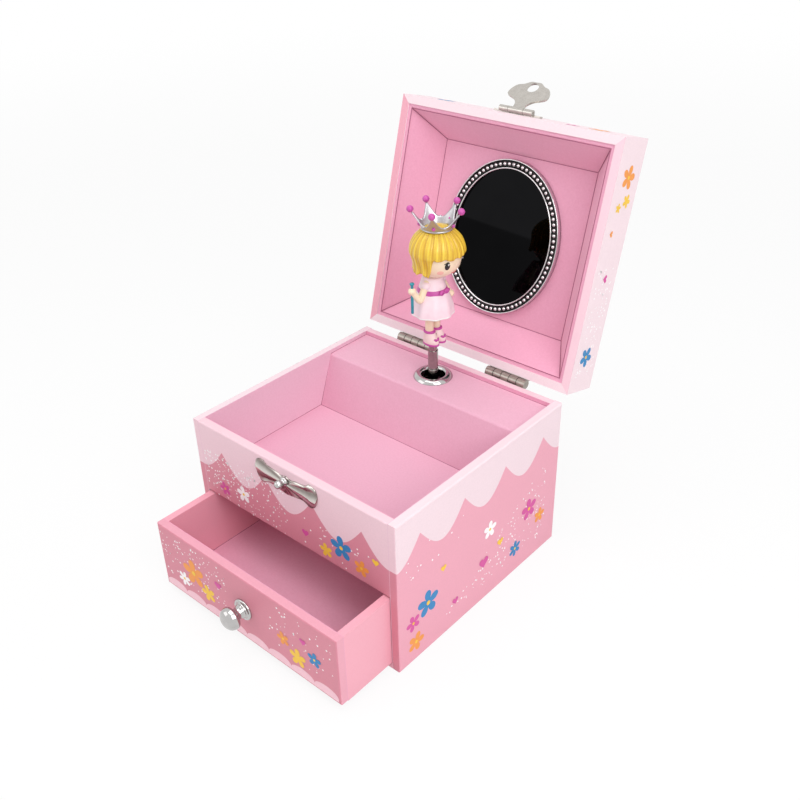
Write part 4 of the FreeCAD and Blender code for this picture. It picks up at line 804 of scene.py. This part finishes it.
# doll: legs in ankle boots, each boot a stack of ovals (x, half length, half width, height)
LEG_Y, BOOT_SIDES = 2.44, 40
BOOT = [(0.9, 4.1, 2.5, 0.9), (0.9, 4.28, 2.6, 1.6), (0.9, 4.2, 2.6, 2.6), (0.5, 3.7, 2.55, 3.8),
        (0.25, 3.1, 2.5, 4.9), (0.05, 2.75, 2.45, 6.2), (0.0, 2.7, 2.4, 7.0), (0.0, 2.3, 2.1, 7.25)]
BOOT_SOLE = [(0.9, 4.0, 2.45, 0.02), (0.9, 4.4, 2.65, 0.25), (0.9, 4.4, 2.65, 0.95), (0.9, 4.1, 2.5, 1.15)]
CUFF = [(0.05, 2.6, 2.3, 6.1), (0.05, 2.92, 2.6, 6.35), (0.0, 2.92, 2.6, 7.0), (0.0, 2.4, 2.15, 7.3)]
boots = []
for y in (-LEG_Y, LEG_Y):
    boots.append(swept("doll_leg", [(0, y, 6.4), (0, y, 11), (0, y, 14.6)], [1.95, 1.95, 2.0], skin, doll))
    for stack, coat in ((BOOT, shoe_cream), (BOOT_SOLE, magenta), (CUFF, magenta)):
        points = [(x + a * cos(t), y + b * sin(t), z) for x, a, b, z in stack for t in turns(BOOT_SIDES)]
        faces = tube_faces(len(stack), BOOT_SIDES)
        boots.append(outward(piece("doll_boot", points, faces, coat, where=doll)))
    for side in (-1, 1):
        loop = [(4.2, y + side * 1.2, 3.7), (4.5, y + side * 0.5, 3.2), (4.4, y, 3.1)]
        boots.append(swept("boot_bow", loop, [0.45, 0.62, 0.4], magenta, doll, 12))
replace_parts(joined("doll_legs", boots, "figure"), "figure_legs")

# bell dress with soft folds, a hem trim and a sash
DRESS = smooth_profile([(9.2, 15.3), (9.62, 16.0), (9.6, 17.4), (9.15, 20.4), (7.9, 24.2), (6.5, 27.8),
                        (5.5, 30.8), (4.75, 33.0), (3.6, 33.8), (0.05, 33.85)], 5)
DRESS_SIDES, HEM_SIDES, HEM_Z = 108, 10, 15.9
SKIRT_FOLDS, SKIRT_WAVE, WAIST_Z = 9, 0.34, 29.0


def fold(a, z):
    """How far the skirt's folds stand out at an angle and a height, none above the waist."""
    return SKIRT_WAVE * cos(SKIRT_FOLDS * a + 0.4) * max(0.0, min(1.0, (WAIST_Z - z) / 13.0)) ** 1.3


dress_parts = [turned("doll_dress", DRESS, dress_pink, None, doll, DRESS_SIDES, fold)]
hem = [(9.45 + 0.32 * cos(t), 15.85 + 0.42 * sin(t)) for t in turns(HEM_SIDES)]
hem_points = [((r + fold(a, HEM_Z)) * cos(a), (r + fold(a, HEM_Z)) * sin(a), z)
              for r, z in hem for a in turns(DRESS_SIDES)]
hem_faces = grid_faces(HEM_SIDES, DRESS_SIDES) + band((HEM_SIDES - 1) * DRESS_SIDES, 0, DRESS_SIDES)
dress_parts.append(outward(piece("dress_hem", hem_points, hem_faces, white_paint, where=doll)))
sash = smooth_profile([(6.9, 26.0), (7.05, 26.5), (6.75, 27.7), (6.35, 28.4), (6.05, 28.4)], 3)
dress_parts.append(ringed("dress_sash", sash + [(5.6, 27.6), (6.2, 26.2)], magenta, where=doll))
for side in (-1, 1):
    loop = [(6.6, 0, 27.3), (7.2, side * 1.6, 28.2), (7.0, side * 2.7, 27.6), (6.9, side * 1.7, 26.7),
            (6.8, side * 0.3, 27.1)]
    dress_parts.append(swept("sash_bow", loop, [0.5, 0.62, 0.66, 0.6, 0.45], magenta, doll, 12))
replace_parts(joined("doll_dress_sewn", dress_parts, "figure"), "figure_dress")

# arms: one bent up to hold the wand, one hanging clear of the skirt
WAND_X, WAND_Y = -1.63, -12.19
HAND = [(0.05, -1.75), (1.0, -1.45), (1.62, -0.7), (1.75, 0.1), (1.5, 0.95), (0.85, 1.5), (0.05, 1.7)]
PUFF = [(0.05, -2.2), (1.5, -1.75), (2.35, -0.4), (2.2, 0.9), (1.3, 1.8), (0.05, 2.05)]
RAISED = [(0.5, -4.6, 31.2), (0.45, -6.9, 28.0), (0.2, -8.9, 24.6), (-0.5, -10.4, 26.2), (-1.3, -11.7, 28.6)]
HANGING = [(0.5, 4.6, 31.2), (0.9, 6.9, 27.6), (1.5, 9.0, 23.8), (1.9, 10.2, 21.9)]
arm_parts = [swept("doll_arm", RAISED, [1.75, 1.6, 1.5, 1.4, 1.35], skin, doll),
             swept("doll_arm", HANGING, [1.75, 1.6, 1.45, 1.35], skin, doll)]
for centre, along in (((WAND_X, WAND_Y, 29.6), (0, 0, 1)), ((1.95, 10.45, 21.6), (0, 0.4, -1))):
    turn = Vector((0, 0, 1)).rotation_difference(Vector(along)).to_matrix()
    arm_parts.append(turned("doll_hand", smooth_profile(HAND, 3), skin, around=28,
                            where=lambda p, c=centre, m=turn: doll(tuple(m @ Vector(p) + Vector(c)))))
for side in (-1, 1):
    arm_parts.append(turned("doll_sleeve", smooth_profile(PUFF, 3), dress_pink, around=28,
                            where=doll_at(0.5, side * 5.2, 30.4)))
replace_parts(joined("doll_arms", arm_parts, "figure"), "figure_arms")
WAND = [(0.05, 18.8), (0.6, 18.9), (0.65, 19.4), (0.65, 32.0), (0.6, 32.4), (0.95, 32.8), (1.1, 33.3),
        (0.8, 33.7), (0.05, 33.8)]
wand = turned("doll_wand", WAND, teal, "figure", doll_at(WAND_X, WAND_Y, 0), 24)
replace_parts(wand, "figure_wand")

# head with a plain painted face
HEAD = smooth_profile([(0.05, 34.5), (2.9, 34.75), (5.4, 35.7), (9.6, 39.2), (11.3, 45.2), (10.5, 51.0),
                       (6.6, 55.3), (3.0, 56.5), (0.05, 56.75)], 6)
PATCH_SIDES, PATCH_RINGS, PATCH_LIFT, EYE_TURN, EYE_Z = 28, 5, 0.03, 27, 42.7


def head_radius(z):
    for (r0, z0), (r1, z1) in zip(HEAD, HEAD[1:]):
        if z0 <= z <= z1:
            return r0 + (r1 - r0) * (z - z0) / max(z1 - z0, 1e-6)
    return 0.0


def on_head(aside, z, lift, across=0.0):
    """Point on the face, degrees aside of its middle, moved across by an angle and lifted off the skin."""
    turn = radians(aside) + across
    r = head_radius(z) + lift
    return (HEAD_LEAD + r * cos(turn), r * sin(turn), z)


def face_patch(name, aside, z, half_wide, half_high, dome, material):
    """Small painted oval that follows the head's curve and swells a little in the middle."""
    points = [on_head(aside, z, PATCH_LIFT + dome)]
    for k in range(1, PATCH_RINGS + 1):
        share = k / PATCH_RINGS
        for t in turns(PATCH_SIDES):
            across, up = share * half_wide * cos(t) / head_radius(z), share * half_high * sin(t)
            points.append(on_head(aside, z + up, PATCH_LIFT + dome * (1 - share ** 2), across))
    faces = [(0, 1 + n, 1 + (n + 1) % PATCH_SIDES) for n in range(PATCH_SIDES)]
    for first in range(1, 1 + PATCH_SIDES * (PATCH_RINGS - 1), PATCH_SIDES):
        for n in range(PATCH_SIDES):
            a, b = first + n, first + (n + 1) % PATCH_SIDES
            faces.append((a, a + PATCH_SIDES, b + PATCH_SIDES, b))
    return outward(piece(name, points, faces, material, where=doll))


NECK = [(1.4, 0, 34.2), (1.4, 0, 35.5), (1.6, 0, 37.2)]
LASH = ((-5.0, 1.5), (0.0, 2.1), (5.0, 1.55), (8.5, 1.5))
head_parts = [turned("doll_head", HEAD, skin, where=doll_at(HEAD_LEAD, 0, 0), around=80),
              swept("doll_neck", NECK, [2.6, 2.6, 2.7], skin, doll)]
for side in (-1, 1):
    lash = [on_head(side * (EYE_TURN + d), EYE_Z + h, 0.16) for d, h in LASH]
    head_parts += [face_patch("doll_eye", side * EYE_TURN, EYE_Z, 1.25, 1.75, 0.16, enamel_black),
                   face_patch("doll_glint", side * EYE_TURN + 2.4, 43.55, 0.42, 0.5, 0.34, white_paint),
                   face_patch("doll_cheek", side * 43, 39.7, 1.5, 1.1, 0.02, cheek_pink),
                   swept("doll_lash", lash, [0.1, 0.22, 0.24, 0.1], enamel_black, doll, 10)]
smile = [on_head(d, 38.0 + 0.012 * d * d / 1.2, 0.08) for d in (-9, -5, 0, 5, 9)]
head_parts += [swept("doll_mouth", smile, [0.13, 0.24, 0.28, 0.24, 0.13], lip_pink, doll, 10),
               face_patch("doll_nose", 0, 40.6, 0.6, 0.55, 0.35, skin)]
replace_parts(joined("doll_head_painted", head_parts, "figure"), "figure_head")

# hair: a bob of combed strands with a fringe, its lower ends flicked out; angles in degrees
HAIR_SIDES, HAIR_ROWS = 300, 30
FACE_HALF, FACE_BLEND, FRINGE, TIPS = 72.0, 16.0, 96.0, 158.0
STRAND, HAIR_DEPTH = 0.26, 0.55
HAIR_RADIUS, HAIR_Z, HAIR_RISE, HAIR_DROP, HAIR_LENGTH = 12.35, 46.4, 11.6, 11.0, 21.0


def comb_wave(turn, share):
    """Height of the combed strands, -1 in a furrow and 1 on a ridge."""
    coarse = sin(24 * turn + 2.2 * sin(2.0 * share + 3 * turn))
    return 0.6 * coarse + 0.4 * sin(53 * turn + 3.1 * sin(2.6 * share + 2 * turn))


def hair_point(turn, share, inset):
    """Point of the hair at an angle and a share of the way from crown to tip."""
    from_face = abs((degrees(turn) + 180) % 360 - 180)
    open_face = max(0.0, min(1.0, (FACE_HALF - from_face) / FACE_BLEND))
    open_face = open_face * open_face * (3 - 2 * open_face)
    strand = comb_wave(turn, share)
    fringe = FRINGE + 4.0 * sin(13 * turn) - 0.09 * from_face
    tips = TIPS + 5.0 * sin(9 * turn) + 2.0 * strand
    reach = radians((fringe * open_face + tips * (1 - open_face)) * share)
    if reach <= pi / 2:
        r, z = HAIR_RADIUS * sin(reach), HAIR_Z + HAIR_RISE * cos(reach)
    else:
        past = (reach - pi / 2) / (pi / 2)
        r, z = HAIR_RADIUS * (1 - 0.13 * sin(past * 2.6)) + 0.3 * past, HAIR_Z - HAIR_DROP * past
    r += (-HAIR_DEPTH if inset else STRAND * strand * min(1.0, share * 3)) + 0.15 * open_face
    return (HEAD_LEAD + r * cos(turn), r * sin(turn), z)


hair_points = [hair_point(a, 0.02 + 0.98 * k / (HAIR_ROWS - 1), inset)
               for inset in (False, True) for k in range(HAIR_ROWS) for a in turns(HAIR_SIDES)]
inner_top = HAIR_ROWS * HAIR_SIDES
hair_faces = shell_faces(HAIR_ROWS, HAIR_SIDES)
hair_faces += [tuple(range(HAIR_SIDES)), tuple(range(inner_top, inner_top + HAIR_SIDES))]
hair = outward(piece("doll_hair", hair_points, hair_faces, hair_gold, "figure", doll))
hair_x, hair_top = SPINDLE[0] + HEAD_LEAD, SOLE + HAIR_Z + HAIR_RISE
# the strand heights paint shade into the furrows between the hair's strands
write_relief(hair, "strand",
             lambda x, y, z: comb_wave(atan2(y - SPINDLE[1], x - hair_x), (hair_top - z) / HAIR_LENGTH))
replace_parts(hair, "figure_hair")

# crown: a flared band with five points, each tipped with a bead
CROWN_LOW, CROWN_TURN, CROWN_POINTS = 56.2, radians(-62), 5
CROWN_SIDES, CROWN_ROWS = 160, 10
CROWN_BAND, CROWN_PEAK, CROWN_RADIUS, CROWN_SHEET = 2.9, 6.1, 6.5, 0.75


def crown_edge(turn):
    """Height of the crown's upper edge at an angle: steep points with round valleys."""
    step = 2 * pi / CROWN_POINTS
    off = abs((turn - CROWN_TURN + step / 2) % step - step / 2) / (step / 2)
    return CROWN_BAND + CROWN_PEAK * max(0.0, 1 - off) ** 2.4


def crown_point(turn, up, inset=False):
    z = CROWN_LOW + crown_edge(turn) * up
    rise = z - CROWN_LOW
    r = CROWN_RADIUS + 0.42 * rise + 0.02 * rise ** 2 - (CROWN_SHEET if inset else 0.0)
    return (HEAD_LEAD + r * cos(turn), r * sin(turn), z)


crown_points = [crown_point(a, k / (CROWN_ROWS - 1), inset)
                for inset in (False, True) for k in range(CROWN_ROWS) for a in turns(CROWN_SIDES)]
crown_faces = shell_faces(CROWN_ROWS, CROWN_SIDES) + band(0, CROWN_ROWS * CROWN_SIDES, CROWN_SIDES)
crown_parts = [outward(piece("doll_crown_band", crown_points, crown_faces, silver_paint, where=doll))]
rim = [(6.75 + 0.45 * cos(t), CROWN_LOW + 0.75 + 0.45 * sin(t)) for t in turns(10)]
crown_parts.append(ringed("doll_crown_rim", rim, silver_paint, where=doll_at(HEAD_LEAD, 0, 0), around=80))
for turn in turns(CROWN_POINTS):
    at = CROWN_TURN + turn
    tip = crown_point(at, 1.0)
    bead_spot = (tip[0] - 0.2 * cos(at), tip[1] - 0.2 * sin(at), tip[2] + 0.7)
    gem_spot, pearl_spot = crown_point(at, 0.3), crown_point(at + pi / CROWN_POINTS, 0.95)
    for size, spot, coat in ((1.55, bead_spot, magenta), (0.85, gem_spot, magenta),
                             (0.6, pearl_spot, silver_paint)):
        ball = [(size * sin(t) + 0.01, -size * cos(t)) for t in [pi * n / 10 for n in range(11)]]
        crown_parts.append(turned("crown_ball", ball, coat, where=doll_at(*spot), around=20))
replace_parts(joined("doll_crown", crown_parts, "figure"), "figure_crown")


# floor, light and camera
def seen_rays(tree):
    """One for rays that show the background itself: to the camera, in metal and through glass."""
    path = add(tree, "ShaderNodeLightPath").outputs
    shown = maths(tree, "MAXIMUM", path["Is Camera Ray"], path["Is Glossy Ray"])
    return maths(tree, "MAXIMUM", shown, path["Is Transmission Ray"])


WHITE = (1, 1, 1, 1)
FLOOR_REACH, FLOOR_DROP = 30000, -0.05
NEAR_BOX, FAR_OFF, NEAR_LIGHT, SKY_LIGHT = 300, 1400, 0.88, 0.55
floor_material, tree = start_material("white_studio_floor")
away = add(tree, "ShaderNodeVectorMath", {0: place_of(tree)}, operation="LENGTH")
# the floor is evenly white away from the box, so that it meets the background without a line
lit = add(tree, "ShaderNodeMapRange", {"Value": away.outputs["Value"], "From Min": NEAR_BOX * MM,
                                       "From Max": FAR_OFF * MM, "To Min": NEAR_LIGHT, "To Max": 1.0},
          interpolation_type="SMOOTHSTEP")
seen = maths(tree, "MULTIPLY", seen_rays(tree), lit.outputs["Result"])
dull_white = add(tree, "ShaderNodeBsdfDiffuse", {"Color": hex_colour("#f4f4f4")})
bright = add(tree, "ShaderNodeEmission", {"Color": WHITE, "Strength": 1.0})
both = add(tree, "ShaderNodeMixShader", {0: seen, 1: dull_white.outputs[0], 2: bright.outputs[0]})
add(tree, "ShaderNodeOutputMaterial", {"Surface": both.outputs[0]})
floor = piece("studio_floor", corners(FLOOR_REACH, -FLOOR_REACH, FLOOR_REACH, FLOOR_DROP), [(0, 1, 2, 3)],
              floor_material, smooth=False)

world = bpy.data.worlds.new("studio")
scene.world = world
world.use_nodes = True
tree = world.node_tree
tree.nodes.clear()
level = maths(tree, "MULTIPLY_ADD", seen_rays(tree), 1.0 - SKY_LIGHT, SKY_LIGHT)
sky = add(tree, "ShaderNodeBackground", {"Color": WHITE, "Strength": level})
add(tree, "ShaderNodeOutputWorld", {"Surface": sky.outputs[0]})

# square soft boxes: name, place, target, size and power
for name, place, target, size, power in (("key_softbox", (520, -200, 520), (0, 0, 70), 420, 2.35),
                                         ("fill_softbox", (-420, -520, 420), (0, 0, 70), 500, 0.75),
                                         ("top_softbox", (0, -60, 760), (0, 0, 60), 500, 1.75)):
    lamp = bpy.data.lights.new(name, "AREA")
    lamp.size = size * MM
    lamp.energy = power
    obj = bpy.data.objects.new(name, lamp)
    obj.location = Vector(place) * MM
    obj.rotation_euler = (Vector(target) - Vector(place)).to_track_quat("-Z", "Y").to_euler()
    scene.collection.objects.link(obj)

# camera as fitted to the photo, whose sides are PICTURE pixels long
AZIMUTH, ELEVATION, ROLL = (radians(d) for d in (42.026, 31.803, -1.61))
DISTANCE, SLIDE_X, SLIDE_Y, FOCAL_PX = 462.312, 7.908, 70.04, 948.049
SENSOR, PICTURE = 36.0, 800.0
level_back, level_side = cos(ELEVATION) * cos(AZIMUTH), sin(AZIMUTH) * cos(ELEVATION)
back = Vector((level_side, -level_back, sin(ELEVATION)))
right = Vector((cos(AZIMUTH), sin(AZIMUTH), 0))
up = back.cross(right)
right, up = right * cos(ROLL) + up * sin(ROLL), up * cos(ROLL) - right * sin(ROLL)
lens = bpy.data.cameras.new("camera")
lens.sensor_width = SENSOR
lens.lens = FOCAL_PX * SENSOR / PICTURE
lens.clip_start = 0.01
camera = bpy.data.objects.new("camera", lens)
turn = Matrix((right, up, back)).transposed().to_4x4()
camera.matrix_world = Matrix.Translation((back * DISTANCE + right * SLIDE_X + up * SLIDE_Y) * MM) @ turn
scene.collection.objects.link(camera)
scene.camera = camera
scene.view_settings.view_transform = "Standard"
